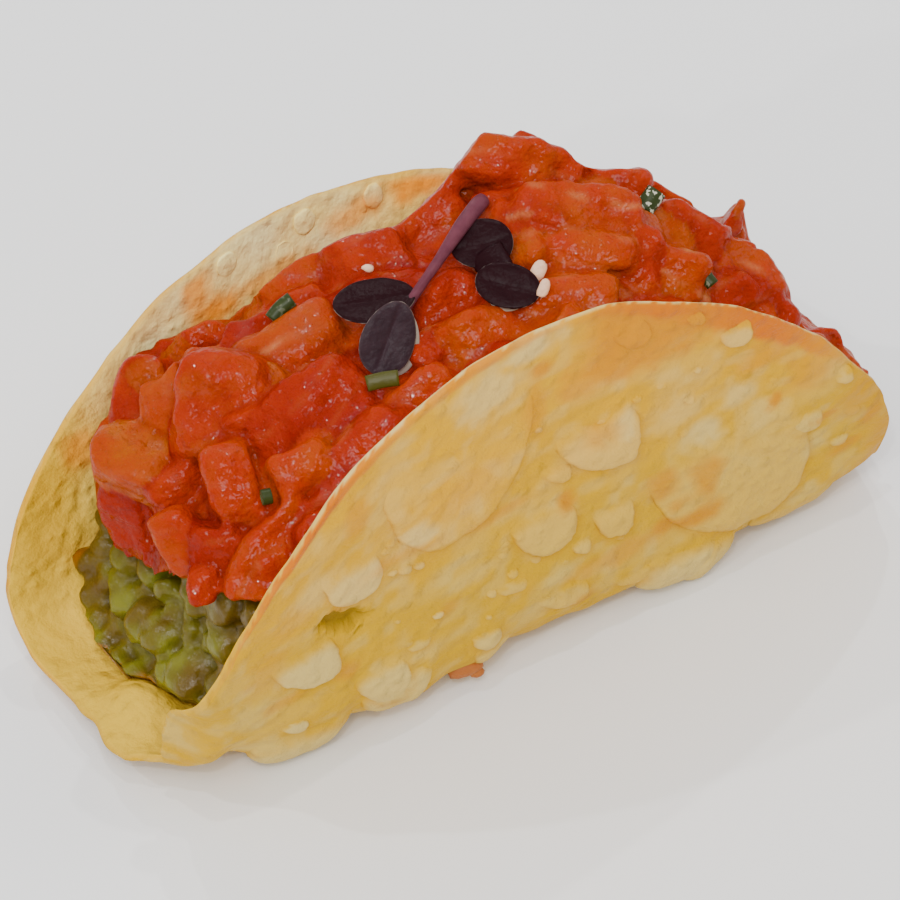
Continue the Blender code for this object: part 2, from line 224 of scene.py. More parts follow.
def edge_distance(p):
    """Distance of each grid point to the rim along its row and column."""
    du = np.concatenate([np.zeros((1, p.shape[1])), np.cumsum(np.linalg.norm(np.diff(p, axis=0), axis=-1), 0)])
    dv = np.concatenate([np.zeros((p.shape[0], 1)), np.cumsum(np.linalg.norm(np.diff(p, axis=1), axis=-1), 1)], 1)
    return np.minimum(np.minimum(du, du[-1:] - du), np.minimum(dv, dv[:, -1:] - dv))


def ripple(x, s):
    """Gentle waves of the whole sheet."""
    p = np.stack([x, s, np.zeros_like(x)], -1)
    total = 0.26 * grain(p, 10.0, 11) + 0.12 * grain(p, 4.5, 12)
    under = np.exp(-((s + 13.5) / 5.5) ** 2)
    total = total * (1 - 0.7 * under) + eased_table(x, UNDERSIDE) * under
    for sx, ss, rx, rs, amount in SWELLS:
        total = total + amount * np.exp(-((x - sx) / rx) ** 2 - ((s - ss) / rs) ** 2)
    return total


def skin(x, s, side):
    """Relief of one face of the sheet, outwards of that face."""
    p = np.stack([x, s, np.full_like(x, 9.0 * side)], -1)
    return (0.13 * grain(p, 3.2, 21) + 0.08 * grain(p, 1.5, 22) + 0.03 * grain(p, 0.8, 23)) * (1.0 if side > 0 else 0.55)


def new_mesh(name, points, faces, attributes=None):
    """Object from points in millimetres about the fold's middle; attributes are (count, 4) colour arrays."""
    mesh = bpy.data.meshes.new(name)
    co = ((np.asarray(points) + ORIGIN) * MM).astype(np.float32)
    mesh.from_pydata(co, [], faces)
    for key, value in (attributes or {}).items():
        layer = mesh.attributes.new(key, "FLOAT_COLOR", "POINT")
        layer.data.foreach_set("color", np.clip(value, 0, 1).astype(np.float32).ravel())
    mesh.polygons.foreach_set("use_smooth", np.ones(len(mesh.polygons), bool))
    mesh.update()
    ob = bpy.data.objects.new(name, mesh)
    bpy.context.scene.collection.objects.link(ob)
    return ob


# Golden and pale spots of the near flap's outside: x, place across the fold, half sizes, amount.
TOAST = (
    (12.6, -29.0, 1.7, 1.9, 0.80), (17.6, -27.4, 1.4, 2.8, 0.85), (14.3, -25.2, 0.9, 1.0, 0.7),
    (16.6, -22.2, 3.0, 1.5, 1.00), (13.6, -22.6, 1.6, 1.3, 0.9), (-1.0, -51.8, 1.2, 1.1, 0.9),
    (-1.3, -47.0, 1.2, 4.2, 0.55), (-22.5, -33.8, 1.2, 1.1, 0.55), (-21.3, -24.0, 1.4, 1.4, 0.70),
    (-27.5, -23.2, 2.6, 0.9, 0.5), (-10.2, -25.8, 1.0, 1.0, 0.5), (5.6, -39.8, 1.9, 1.5, 0.50),
    (2.2, -32.4, 0.9, 1.2, 0.95), (36.0, -25.0, 1.5, 2.0, 0.8), (36.5, -30.5, 1.8, 3.0, 0.5),
    (30.4, -28.4, 2.2, 0.5, 0.8), (24.6, -34.0, 0.55, 0.9, 1.0), (3.0, -47.5, 2.0, 1.6, 0.6),
    (10.0, -48.5, 7.5, 2.8, 0.95), (16.0, -49.0, 6.0, 2.0, 0.95), (24.0, -41.5, 3.5, 2.5, 0.60),
    (28.5, -37.0, 3.0, 3.0, 0.50), (34.0, -29.0, 3.0, 3.0, 0.50), (34.0, -21.5, 2.2, 1.0, 0.75),
    (-5.0, -35.2, 4.0, 0.8, 0.55), (9.0, -21.5, 5.0, 1.4, 0.55), (-15.0, -36.8, 5.0, 1.0, 0.40),
    (-9.0, -42.0, 4.0, 3.0, 0.25), (4.6, -17.6, 1.2, 0.8, 0.6), (-21.0, -46.5, 1.4, 2.6, 0.5),
    (-30.0, -30.0, 2.0, 4.0, 0.30), (-28.0, -36.0, 2.2, 2.4, 0.25),
)
PALE = (
    (-7.0, -53.2, 3.4, 3.0, 0.70), (-2.4, -55.4, 4.2, 1.6, 0.8), (-14.2, -38.6, 2.4, 2.2, 0.75),
    (-17.5, -45.0, 2.4, 2.6, 0.35), (8.4, -39.6, 1.4, 2.4, 0.75), (17.0, -33.4, 2.2, 2.0, 0.70),
    (20.5, -36.5, 2.0, 1.6, 0.6), (14.0, -38.0, 4.0, 2.0, 0.45), (23.0, -32.0, 2.0, 2.4, 0.5),
    (14.0, -14.0, 3.0, 2.4, 0.80), (-29.0, -15.5, 3.0, 2.0, 0.5), (-25.0, -38.5, 2.6, 2.4, 0.5),
    (-30.5, -23.0, 3.0, 3.0, 0.35), (-35.0, -9.5, 2.5, 2.0, 0.6), (29.4, -24.0, 2.4, 1.4, 0.5),
    (-8.0, -28.6, 3.0, 1.2, 0.35), (2.4, -22.6, 2.4, 1.4, 0.45),
)


def spots(x, s, rows, seed):
    """Soft spots with uneven outlines."""
    p = np.stack([x, s, np.zeros_like(x)], -1)
    wobble = 0.30 * grain(p, 1.6, seed) + 0.15 * grain(p, 0.7, seed + 1)
    total = np.zeros_like(x)
    for sx, ss, rx, rs, amount in rows:
        d = np.sqrt(((x - sx) / rx) ** 2 + ((s - ss) / rs) ** 2) + wobble
        total = np.maximum(total, amount * smoothstep(1.45 - d))
    return total


def tones(x, s, side, to_rim, raised):
    """Colour masks of the dough at x, s: pale, toasted, oily, and hollow: the low sheet between blisters darkened,
    partly its own thin-dough colour and partly painted shade.
    """
    p = np.stack([x, s, np.full_like(x, 5.0 * side)], -1)
    big, mid = grain(p, 9.0, 31), grain(p, 3.5, 32)
    near = s < 0
    if side > 0:
        patches = 0.18 * smoothstep(1.6 * grain(p, 4.2, 37)) + 0.24 * smoothstep(1.9 * grain(p, 1.5, 38) - 0.1)
        pale = np.where(near, np.maximum(spots(x, s, PALE, 41), patches), 0.35 + 0.45 * mid)
        toast = np.where(near, spots(x, s, TOAST, 43), smoothstep(0.2 + 1.2 * big) * 0.5)
        band = smoothstep((-s - 44.5 + 1.5 * mid) / 4.0) * smoothstep((x - 1.5) / 5.0)
        end = smoothstep((x - 33.0 + 2.0 * mid) / 6.0)
        toast = np.maximum(toast, np.where(near, np.maximum(band, 0.6 * end), 0.0))
        # hollow: the low sheet between the blisters is darkened, partly its own colour, partly painted shade
        hollow = np.where(near, 0.55 + 0.3 * mid, 0.35) * (1 - smoothstep(raised / 0.35))
        hollow = hollow * smoothstep((-s - 10.0) / 6.0) * (1 - band) * (1 - smoothstep((-s - 44.0) / 5.0))
    else:
        pale = np.clip(0.75 + 0.6 * big + 0.3 * mid, 0, 1) * (0.12 + 0.88 * smoothstep((x + 33.0) / 14.0))
        toast = smoothstep(0.10 + 0.9 * grain(p, 7.0, 34)) * 0.30 * smoothstep((s - 12.0) / 8.0)
        hollow = np.full_like(x, 0.12)
    oil = np.zeros_like(x)
    theta = np.degrees(np.arctan2(s - FOLD_SHIFT, x * ROUND_S / ROUND_X))
    ragged = 0.35 * grain(p, 1.4, 35) + 0.2 * grain(p, 0.6, 36)
    strips = ((-58.0, 13.0, 1.7, 1.0), (-75.0, 9.0, 0.7, 0.8), (-124.0, 16.0, 0.7, 1.0), (-100.0, 12.0, 0.40, 0.6))
    for at, wide, deep, amount in strips:
        along = np.exp(-((theta - at) / wide) ** 2)
        reach = 1 - smoothstep((to_rim - deep * (0.55 + along)) / (0.8 * deep) + ragged)
        oil = np.maximum(oil, np.where(near, amount * along * reach, 0.0))
    if side < 0:
        line = 37.2 + 1.2 * big + 1.0 * mid
        soaked = smoothstep((line - s) / 1.6 + 0.8 * ragged) * smoothstep((x + 27.0) / 4.0) * smoothstep((s - 20.0) / 8.0)
        smear = spots(x, s, ((-15.0, 41.5, 1.8, 3.4, 0.8), (4.0, 39.8, 3.4, 1.4, 0.70), (12.5, 40.0, 5.0, 2.0, 1.0),
                             (-13.5, 38.2, 2.8, 1.6, 1.0), (-30.0, 30.5, 2.0, 2.4, 0.7), (-6.0, 38.4, 5.0, 1.0, 0.6)), 51)
        oil = np.maximum(oil, np.where(near, 0.4 * smoothstep((-26 - s) / 5), np.maximum(0.62 * soaked, smear)))
        oil = oil * smoothstep((to_rim - 0.2) / 0.8)
    return np.stack([pale, toast, oil, hollow], -1)


def grid_faces(nu, nv, start, flip):
    i, j = np.meshgrid(np.arange(nu - 1), np.arange(nv - 1), indexing="ij")
    a = start + i * nv + j
    quad = np.stack([a, a + 1, a + nv + 1, a + nv], -1).reshape(-1, 4)
    return quad[:, ::-1] if flip else quad


def pit(x, s):
    """Depth of the burst blister on the near flap."""
    p = np.stack([x, s, np.zeros_like(x)], -1)
    c, d = math.cos(0.62), math.sin(0.62)
    a, b = (x + 21.6) * c + (s + 31.6) * d, -(x + 21.6) * d + (s + 31.6) * c
    r = np.hypot(a / 3.3, b / 1.7) + 0.30 * grain(p, 1.1, 61) + 0.15 * grain(p, 0.5, 62)
    return smoothstep((1.0 - r) / 0.22)


DOME_FADE = 0.38                # how far a blister's upper edge runs into the sheet


def blister_reach(phi, rx, big, seed):
    """Uneven outline of a blister: share of its size in each direction."""
    ring = np.stack([np.cos(phi), np.sin(phi), np.full_like(phi, seed * 1.7)], -1)
    power = 2.3
    reach = (np.abs(np.cos(phi)) ** power + np.abs(np.sin(phi)) ** power) ** (-1 / power)
    reach = reach * (1 + 0.08 * grain(ring, 0.55, seed) + 0.08 / max(rx, 1.2) * grain(ring * 3, 0.5, seed + 1))
    return reach + (0.07 / max(rx, 1.2) * grain(ring * 9, 0.5, seed + 2) if big > 2 else 0)


def blister_painted_shadow(x, s):
    """Painted shadow: a dark brown line along the lower edge of each blister on the near flap, where shade falls below
    it.
    """
    total = np.zeros_like(x)
    for i, (x0, s0, rx, rs, turn, high, _, _) in enumerate(NEAR_DOMES):
        right, up = SEEN_X[0] * (x - x0), SEEN_X[1] * (x - x0) - SEEN_UP * (s - s0)
        near = (np.hypot(right, up) < 1.4 * max(rx, rs) + 1.5) & (s < -8)
        if not near.any():
            continue
        right, up = right[near], up[near]
        ct, st = math.cos(math.radians(turn)), math.sin(math.radians(turn))
        a, b = right * ct + up * st, -right * st + up * ct
        phi = np.arctan2(b / rs, a / rx)
        out = (np.hypot(a / rx, b / rs) / blister_reach(phi, rx, max(rx, rs), 100 + 7 * i) - 1) * min(rx, rs)
        down = smoothstep(0.25 + 0.75 * np.cos(np.arctan2(up, right) + math.radians(62)))
        width = np.where(out > 0, 0.42, 0.13)
        line = min(1.0, 0.45 + 0.6 * high) * down * np.exp(-(out / width) ** 2)
        total[near] = np.maximum(total[near], line)
    return total


def dome(rows, x0, s0, rx, rs, turn, high, flat, pale, side, seed, seen=False):
    """Closed lens on one face of the sheet: steep below, running out above."""
    big = max(rx, rs)
    spokes = int(np.clip((15 if seen else 11) * big, 18, 120))
    levels = np.array([1.0, 0.985, 0.95, 0.90, 0.83, 0.73, 0.60, 0.44, 0.22] if big > 2 else [1.0, 0.97, 0.88, 0.7, 0.4])
    phi = np.linspace(0, 2 * np.pi, spokes, endpoint=False)
    reach = blister_reach(phi, rx, big, seed)
    ct, st = math.cos(math.radians(turn)), math.sin(math.radians(turn))

    def place(level, lift):
        a, b = level * reach * rx * np.cos(phi), level * reach * rs * np.sin(phi)
        a, b = a * ct - b * st, a * st + b * ct
        if seen:
            x = a / SEEN_X[0]
            down = 0.5 + 0.5 * level * np.cos(np.arctan2(b, a) + math.radians(62))
            a, b = x, (SEEN_X[1] * x - b) / SEEN_UP
        else:
            down = 0.5 + 0.5 * level * np.sin(phi)
        x, s = x0 + a, s0 + b
        lean = smoothstep(down * 1.25 - 0.10) if side > 0 else np.ones_like(down)
        h = high * (0.10 + 0.90 * lean) * np.maximum(1 - level ** flat, 0) ** 0.5 * lift - DOME_FADE * (1 - lean) ** 2 * lift
        return x, s, h

    xs, ss, hs = zip(*(place(level, 1.0) for level in levels))
    x, s, h = np.concatenate(xs), np.concatenate(ss), np.concatenate(hs)
    xu, su, _ = place(0.965, 0.0)
    sink = np.where(np.arange(len(h)) < spokes, -0.12, 0.0)
    p = np.stack([x, s, np.full_like(x, seed)], -1)
    h = h * (1 + 0.12 * grain(p, 3.0, seed + 2)) + (0.08 * grain(p, 2.0, seed + 3) + 0.06 * grain(p, 0.9, seed + 4)) * (h > 0.05) + sink
    all_x = np.concatenate([x, [x0], xu, [x0]])
    all_s = np.concatenate([s, [s0], su, [s0]])
    top = high * (0.65 if side > 0 else 1.0)
    all_h = np.concatenate([h, [top], np.full(spokes, -0.40), [-0.40]])
    count = len(levels)
    faces = []
    for k in range(count - 1):
        for i in range(spokes):
            j = (i + 1) % spokes
            faces.append((k * spokes + i, k * spokes + j, (k + 1) * spokes + j, (k + 1) * spokes + i))
    tip, under = count * spokes, count * spokes + 1
    last = (count - 1) * spokes
    for i in range(spokes):
        j = (i + 1) % spokes
        faces.append((last + i, last + j, tip))
        faces.append((i, under + i, under + j, j))
        faces.append((under + j, under + i, under + spokes))
    if (side > 0) != seen:
        faces = [f[::-1] for f in faces]
    rows.append((all_x, all_s, all_h, faces, pale, side, high))


def make_shell():
    p = sheet_grid()
    nu, nv = p.shape[:2]
    x, s = p[..., 0], p[..., 1]
    to_rim = edge_distance(p)
    thick = SHEET * (0.62 + 0.38 * smoothstep(to_rim / 5.0)) / 2
    round_off = np.clip(to_rim / 0.42, 0, 1)
    half = thick * np.sqrt(1 - (1 - round_off) ** 2)
    wave = ripple(x, s)
    inside = smoothstep(to_rim / 1.0)
    hole = pit(x, s)
    outer = wave + half + inside * skin(x, s, 1) - 1.08 * hole
    inner = wave - half - inside * skin(x, s, -1)
    points = [fold(x, s, outer).reshape(-1, 3), fold(x, s, inner).reshape(-1, 3)]
    out_tone = tones(x, s, 1, to_rim, np.zeros_like(x))
    # the burst blister's pit is painted dark: partly its torn interior colour, partly painted shade of a deeper hole
    out_tone[..., 3] = np.maximum(out_tone[..., 3], 1.6 * hole)
    out_tone[..., 0] *= 1 - hole
    tone = [out_tone.reshape(-1, 4), tones(x, s, -1, to_rim, np.zeros_like(x)).reshape(-1, 4)]
    # the third place channel is the painted shadow below each blister's lower edge
    places = [(0.0 * x, blister_painted_shadow(x, s), x, s, hole), (smoothstep(to_rim / 0.6), 0.0 * x, x, s, 0.0 * x)]
    faces = [grid_faces(nu, nv, 0, True), grid_faces(nu, nv, nu * nv, False)]

    rows = []
    for i, (dx, ds, rx, rs, turn, high, flat, pale) in enumerate(NEAR_DOMES + EDGE_DOMES):
        dome(rows, dx, ds, rx, rs, turn, high, flat, pale, 1, 100 + 7 * i, seen=i < len(NEAR_DOMES))
    rng = np.random.default_rng(5)
    for i in range(46):
        dx, ds, r = rng.uniform(-30, 34), rng.uniform(-52, -14), rng.uniform(0.28, 0.62)
        if (dx / 38) ** 2 + ((ds + 5) / 48) ** 2 < 0.85:
            dome(rows, dx, ds, r, r * rng.uniform(0.8, 1.1), 0, 0.10 + 0.25 * r, 2.4, rng.uniform(0.1, 0.4), 1, 1400 + 7 * i, seen=True)
    for i in range(26):
        dx, ds, r = rng.uniform(-30, 34), rng.uniform(-7, 40), rng.uniform(1.2, 5.5)
        if (dx / 36) ** 2 + (ds / 41) ** 2 < 0.9:
            dome(rows, dx, ds, r, r * rng.uniform(0.8, 1.3), 0, 0.25 + 0.12 * r, 3.0, rng.uniform(0.2, 0.8), 1, 400 + 7 * i)
    for i, (dx, ds, r, high) in enumerate(((-1.75, 41.75, 1.25, 0.22), (-11.3, 42.2, 1.15, 0.18), (-4.6, 40.0, 1.0, 0.12),
                                          (6.5, 40.4, 1.2, 0.2))):
        dome(rows, dx, ds, r, r, 0, high, 2.6, 0.7, -1, 700 + 7 * i)
    start = 2 * nu * nv
    face_list = [tuple(f) for f in np.concatenate(faces).tolist()]
    for dx, ds, dh, dome_faces, pale, side, high in rows:
        wave = ripple(dx, ds)
        to = np.full_like(dx, 6.0)
        out = side * (SHEET / 2 + dh) + wave
        points.append(fold(dx, ds, out))
        t = tones(dx, ds, side, to, np.maximum(dh, 0))
        t[:, 0] = np.clip(np.maximum(t[:, 0], pale * smoothstep(dh / max(0.5 * high, 0.1))), 0, 1)
        tone.append(t)
        places.append((np.full_like(dx, float(side < 0)), blister_painted_shadow(dx, ds) if side > 0 else 0.0 * dx, dx, ds, 0.0 * dx))
        face_list += [tuple(start + k for k in f) for f in dome_faces]
        start += len(dx)
    points, tone = np.concatenate(points), np.concatenate(tone)
    points[:, 2] = np.maximum(points[:, 2], -0.70)
    face_side = []
    for inner, lines, px, ps, torn_pit_shade in places:
        # low: the near flap's outside is darker towards its lower part, painted shade; on the inner face, darker
        # towards the open end
        low = smoothstep((ps.ravel() + 42.0) / 16.0) * smoothstep((6.0 - ps.ravel()) / 4.0) * (1 - inner.ravel())
        low = low + inner.ravel() * (0.6 * smoothstep((-27.0 - px.ravel()) / 7.0) + 0.4 * smoothstep((-33.0 - px.ravel()) / 3.0))
        face_side.append(np.stack([inner.ravel(), low, lines.ravel(), torn_pit_shade.ravel()], -1))
    ob = new_mesh("shell_crust", points, face_list, {"tone": tone, "place": np.concatenate(face_side)})
    bm = bmesh.new()
    bm.from_mesh(ob.data)
    bmesh.ops.remove_doubles(bm, verts=bm.verts, dist=2e-6)
    bm.to_mesh(ob.data)
    bm.free()
    ob.data.set_sharp_from_angle(angle=math.radians(75))
    return ob


# --- diced salmon ---
# Axes of the side the dice turn to the open front: across it, up it and out of it.
ACROSS, UP, OUT = (0.8644, -0.5028, 0.0), (0.3503, 0.6021, 0.7174), (-0.3607, -0.6201, 0.6966)
# Dice in sight: x, y, z, half sizes across, up and deep, spin, lean back, turn, tint from deep red to orange, fat
DICE = (
    (-23.1, 2.2, 35.4, 4.2, 5.1, 3.2, -8, 0, -10, 0.50, 0.05),
    (-25.5, 11.0, 28.5, 2.9, 3.7, 2.6, 5, 5, -20, 0.35, 0.10),
    (-30.0, 5.0, 27.0, 4.0, 2.9, 2.3, -24, 35, -10, 0.80, 0.10),
    (-31.0, 4.5, 21.0, 2.5, 3.6, 1.8, -8, -35, -30, 0.10, 0.00),
    (-31.0, -5.0, 25.5, 1.9, 2.9, 1.6, 18, -15, -20, 0.55, 0.10),
    (-25.5, -6.0, 30.5, 2.3, 3.5, 2.0, 10, 5, 0, 0.50, 0.10),
    (-29.0, -8.5, 25.5, 2.5, 3.3, 1.6, -5, -20, -15, 0.15, 0.10),
    (-26.0, -12.5, 27.5, 5.0, 2.0, 2.0, 50, 0, 0, 0.55, 0.15),
    (-31.5, -10.0, 24.0, 1.3, 1.7, 1.2, 0, 0, 0, 0.40, 0.00),
    (-17.0, -5.5, 33.0, 5.6, 4.2, 2.5, 42, 10, 0, 0.15, 0.10),
    (-21.0, -9.5, 32.5, 3.2, 1.9, 1.8, 25, 5, 0, 0.60, 0.10),
    (-15.5, -11.5, 33.5, 4.6, 1.9, 1.6, 42, 0, 0, 0.30, 0.20),
    (-14.0, 3.0, 34.0, 5.4, 2.4, 2.0, 27, 10, 0, 0.65, 0.75),
    (-19.5, 1.0, 33.5, 2.6, 2.4, 2.0, -35, 15, 20, 0.85, 0.40),
    (-18.0, 11.5, 31.0, 1.9, 1.4, 1.5, 10, 0, 0, 0.40, 0.10),
    (-13.5, 7.5, 33.0, 4.8, 1.4, 1.5, 25, 0, 0, 0.35, 0.10),
    (-9.5, 10.5, 33.5, 3.9, 2.1, 1.8, 28, 5, 0, 0.65, 0.15),
    (-3.5, 7.0, 35.5, 4.2, 3.3, 2.2, 18, 10, 0, 0.35, 0.15),
    (3.5, 7.5, 36.5, 3.6, 2.6, 2.2, 40, 0, 0, 0.45, 0.10),
    (-8.5, -10.0, 34.5, 3.4, 2.2, 1.8, 35, 0, 0, 0.45, 0.20),
    (-0.5, -7.0, 35.7, 3.8, 2.3, 1.8, 25, 5, 0, 0.65, 0.10),
    (8.0, -8.5, 37.5, 4.0, 1.9, 1.8, 4, 5, 0, 0.65, 0.25),
    (-0.5, -2.5, 36.0, 3.0, 2.5, 1.8, 60, 0, 0, 0.20, 0.00),
    (11.0, 6.4, 41.4, 3.9, 2.3, 2.4, -14, 5, 0, 0.50, 0.20),
    (7.8, 8.8, 40.6, 1.9, 1.7, 1.6, 0, 0, 0, 0.60, 0.20),
    (15.4, 3.6, 39.9, 2.6, 1.6, 1.8, -30, 0, 10, 0.45, 0.35),
    (13.0, -2.0, 39.0, 5.8, 2.9, 2.2, -12, 15, 5, 0.55, 0.50),
    (11.0, -5.0, 38.3, 5.4, 1.8, 1.8, -4, 0, 0, 0.60, 0.30),
    (20.0, 0.7, 37.6, 3.4, 2.0, 2.0, -16, 0, 10, 0.40, 0.20),
    (24.0, -4.0, 33.5, 3.6, 2.4, 2.0, -32, 0, 15, 0.35, 0.15),
    (19.0, -9.5, 34.5, 2.9, 2.7, 2.0, -22, 5, 5, 0.65, 0.70),
    (27.5, -8.5, 29.5, 3.6, 3.2, 2.4, -32, 5, 15, 0.60, 0.45),
    (16.0, -7.5, 36.0, 2.3, 3.1, 2.0, -5, 0, 0, 0.40, 0.10),
    (28.0, -11.5, 27.5, 2.3, 1.4, 1.5, -25, 0, 0, 0.30, 0.10),
    (10.0, 2.5, 39.0, 4.0, 1.8, 1.8, 10, 10, 0, 0.35, 0.10),
    (0.0, 8.0, 35.8, 2.5, 1.8, 1.6, 60, 0, 0, 0.50, 0.10),
    (-7.0, 4.0, 34.5, 3.0, 1.8, 1.6, 30, 0, 0, 0.20, 0.10),
    (-20.0, -13.0, 30.5, 3.0, 1.4, 1.5, 48, 0, 0, 0.20, 0.20),
    (-23.0, -12.5, 29.5, 2.2, 1.2, 1.5, 40, 0, 0, 0.25, 0.10),
    (-25.0, 2.0, 29.5, 2.2, 2.2, 1.6, 0, 0, 0, 0.10, 0.10),
    (3.0, -5.5, 36.5, 2.6, 1.8, 1.6, 80, 0, 0, 0.30, 0.10),
    (15.0, -5.0, 38.0, 2.2, 1.8, 1.6, 0, 0, 0, 0.50, 0.10),
    (36.2, -5.3, 14.9, 1.5, 0.8, 1.0, -20, 0, 0, 0.50, 0.10),
    (34.0, 4.4, 21.0, 1.5, 1.6, 1.3, -15, 0, 0, 0.60, 0.20),
    (34.5, 4.5, 22.6, 0.95, 1.4, 0.9, -18, 0, 0, 0.60, 0.20),
    (34.7, 4.2, 24.4, 0.60, 1.2, 0.6, -12, 0, 0, 0.70, 0.20),
    (34.7, 3.7, 26.0, 0.52, 1.4, 0.55, -6, 0, 0, 0.75, 0.20),
)
# view of the open front: sideways, up; and the heap's crest in these, in mm
SIDE, TOP = np.array((0.8452, -0.5332, -0.0370)), np.array((0.3944, 0.5754, 0.7165))
CREST = (
    (-34.2, 21.0), (-26.3, 21.3),
    (-22.8, 22.9), (-19.4, 22.9), (-18.6, 25.0), (-14.4, 28.5), (-9.8, 30.6), (-5.2, 31.5), (-2.4, 34.0), (-1.5, 34.8),
    (-0.1, 36.8), (2.2, 39.7), (4.0, 41.0), (5.8, 41.0), (7.7, 39.9), (9.5, 38.6), (11.4, 37.0), (13.3, 36.7),
    (17.1, 36.9), (19.0, 35.7), (20.9, 34.5), (22.8, 33.0), (23.8, 31.8), (24.6, 31.4), (25.5, 33.4), (26.6, 34.7),
    (27.2, 34.2), (27.7, 31.6), (28.0, 29.8), (28.6, 29.0), (29.6, 27.8), (30.4, 26.0), (31.2, 23.9), (32.4, 22.2),
    (33.6, 22.4), (35.4, 22.4), (36.6, 20.6), (38.0, 18.6),
)
# outline of the heap's left end: height, sideways
LEFT_EDGE = ((-5, -30.0), (2.0, -31.4), (4.7, -32.3), (9.4, -33.4), (11.4, -33.5), (13.0, -32.7), (14.4, -31.3),
             (16.6, -31.0), (18.6, -30.5), (20.0, -29.5), (21.5, -26.5), (22.0, -26.0))
# lowest salmon over the avocado at the open end: y, z
UNDERCUT = ((-19, 28.8), (-14.5, 25.2), (-10, 23.2), (-5, 21.2), (-1, 18.5), (2, 18.5), (4, 13.5), (9, 12.5), (14, 11.5), (18, 9.0))
# outline of the avocado towards the lip: sideways, lowest height in view
MASH_EDGE = ((-36.5, 2.0), (-34.9, -2.9), (-33.4, -6.8), (-30.6, -8.9), (-28.3, -9.8), (-25.6, -11.2), (-23.0, -11.8), (-20.0, -12.0))
UNDERCUT_X, UNDERCUT_FADE = -27.0, 1.6
DICE_EDGE = 4.6                 # the higher, the squarer the dice
DICE_SINK = 0.5                 # how far the dice are pressed into the heap
DICE_PROUD, FILL_PROUD = 2.3, 0.5     # how far a die may stand out of the heap's outline
CORE_SINK = 1.4                 # the solid middle of the heap lies this far below its outline
CUT_SIZE = 0.37                 # fineness of the wet surface


def cube_ball(cuts):
    """Unit cube surface as a fine grid."""
    bm = bmesh.new()
    bmesh.ops.create_cube(bm, size=2.0)
    bmesh.ops.subdivide_edges(bm, edges=bm.edges, cuts=cuts, use_grid_fill=True)
    points = np.array([v.co for v in bm.verts])
    faces = np.array([[v.index for v in f.verts] for f in bm.faces])
    bm.free()
    return points, faces


def turned(spin, lean, turn):
    """Axes of a die as rows: across, up, out."""
    base = np.array([ACROSS, UP, OUT])
    a, b, c = (math.radians(v) for v in (spin, lean, turn))
    rz = np.array([[math.cos(a), math.sin(a), 0], [-math.sin(a), math.cos(a), 0], [0, 0, 1]])
    rx = np.array([[1, 0, 0], [0, math.cos(b), -math.sin(b)], [0, math.sin(b), math.cos(b)]])
    ry = np.array([[math.cos(c), 0, -math.sin(c)], [0, 1, 0], [math.sin(c), 0, math.cos(c)]])
    return rz @ rx @ ry @ base


def node_points(name):
    """A CAD node's points about the fold's middle, its triangles and its normals."""
    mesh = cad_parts[name].data
    co = np.array([v.co for v in mesh.vertices]) / MM - ORIGIN
    mesh.calc_loop_triangles()
    tris = np.array([t.vertices for t in mesh.loop_triangles])
    key = {}
    index = np.array([key.setdefault(tuple(np.round(c, 3)), len(key)) for c in co])
    welded = np.array(list(key))
    tris = index[tris]
    tris = tris[(tris[:, 0] != tris[:, 1]) & (tris[:, 1] != tris[:, 2]) & (tris[:, 2] != tris[:, 0])]
    face = np.cross(welded[tris[:, 1]] - welded[tris[:, 0]], welded[tris[:, 2]] - welded[tris[:, 0]])
    normal = np.zeros_like(welded)
    for k in range(3):
        np.add.at(normal, tris[:, k], face)
    normal /= np.maximum(np.linalg.norm(normal, axis=1, keepdims=True), 1e-9)
    return welded, tris, normal


def surface_finder(tree):
    def height(x, y):
        hit = tree.ray_cast(Vector((x, y, 90.0)), Vector((0, 0, -1)))
        return hit[0].z if hit[0] is not None else None
    return height


def remeshed(name, parts, voxel):
    """One watertight surface over all the parts, as points and faces in millimetres."""
    points, faces, start = [], [], 0
    for p, f in parts:
        points.append(p)
        faces += [tuple(start + k for k in face) for face in np.asarray(f).tolist()]
        start += len(p)
    mesh = bpy.data.meshes.new(name)
    mesh.from_pydata(np.concatenate(points), [], faces)
    ob = bpy.data.objects.new(name, mesh)
    bpy.context.scene.collection.objects.link(ob)
    mod = ob.modifiers.new("remesh", "REMESH")
    mod.mode = "VOXEL"
    mod.voxel_size = voxel
    graph = bpy.context.evaluated_depsgraph_get()
    done = bpy.data.meshes.new_from_object(ob.evaluated_get(graph))
    bpy.data.objects.remove(ob)
    co = np.zeros(len(done.vertices) * 3)
    done.vertices.foreach_get("co", co)
    loops = np.zeros(len(done.loops), np.int64)
    done.loops.foreach_get("vertex_index", loops)
    quads = loops.reshape(-1, 4)
    bpy.data.meshes.remove(done)
    return co.reshape(-1, 3), quads


def point_normals(points, quads):
    a, b, c, d = (points[quads[:, k]] for k in range(4))
    face = np.cross(c - a, d - b)
    normal = np.zeros_like(points)
    for k in range(4):
        np.add.at(normal, quads[:, k], face)
    return normal / np.maximum(np.linalg.norm(normal, axis=1, keepdims=True), 1e-9)


def smoothed(points, quads, rounds, share=0.5):
    """Laplacian smoothing over the quad edges."""
    edges = np.concatenate([quads[:, [0, 1]], quads[:, [1, 2]], quads[:, [2, 3]], quads[:, [3, 0]]])
    count = np.bincount(edges[:, 0], minlength=len(points)).astype(float)[:, None]
    for _ in range(rounds):
        total = np.zeros_like(points)
        np.add.at(total, edges[:, 0], points[edges[:, 1]])
        points = points + share * (total / np.maximum(count, 1) - points)
    return points


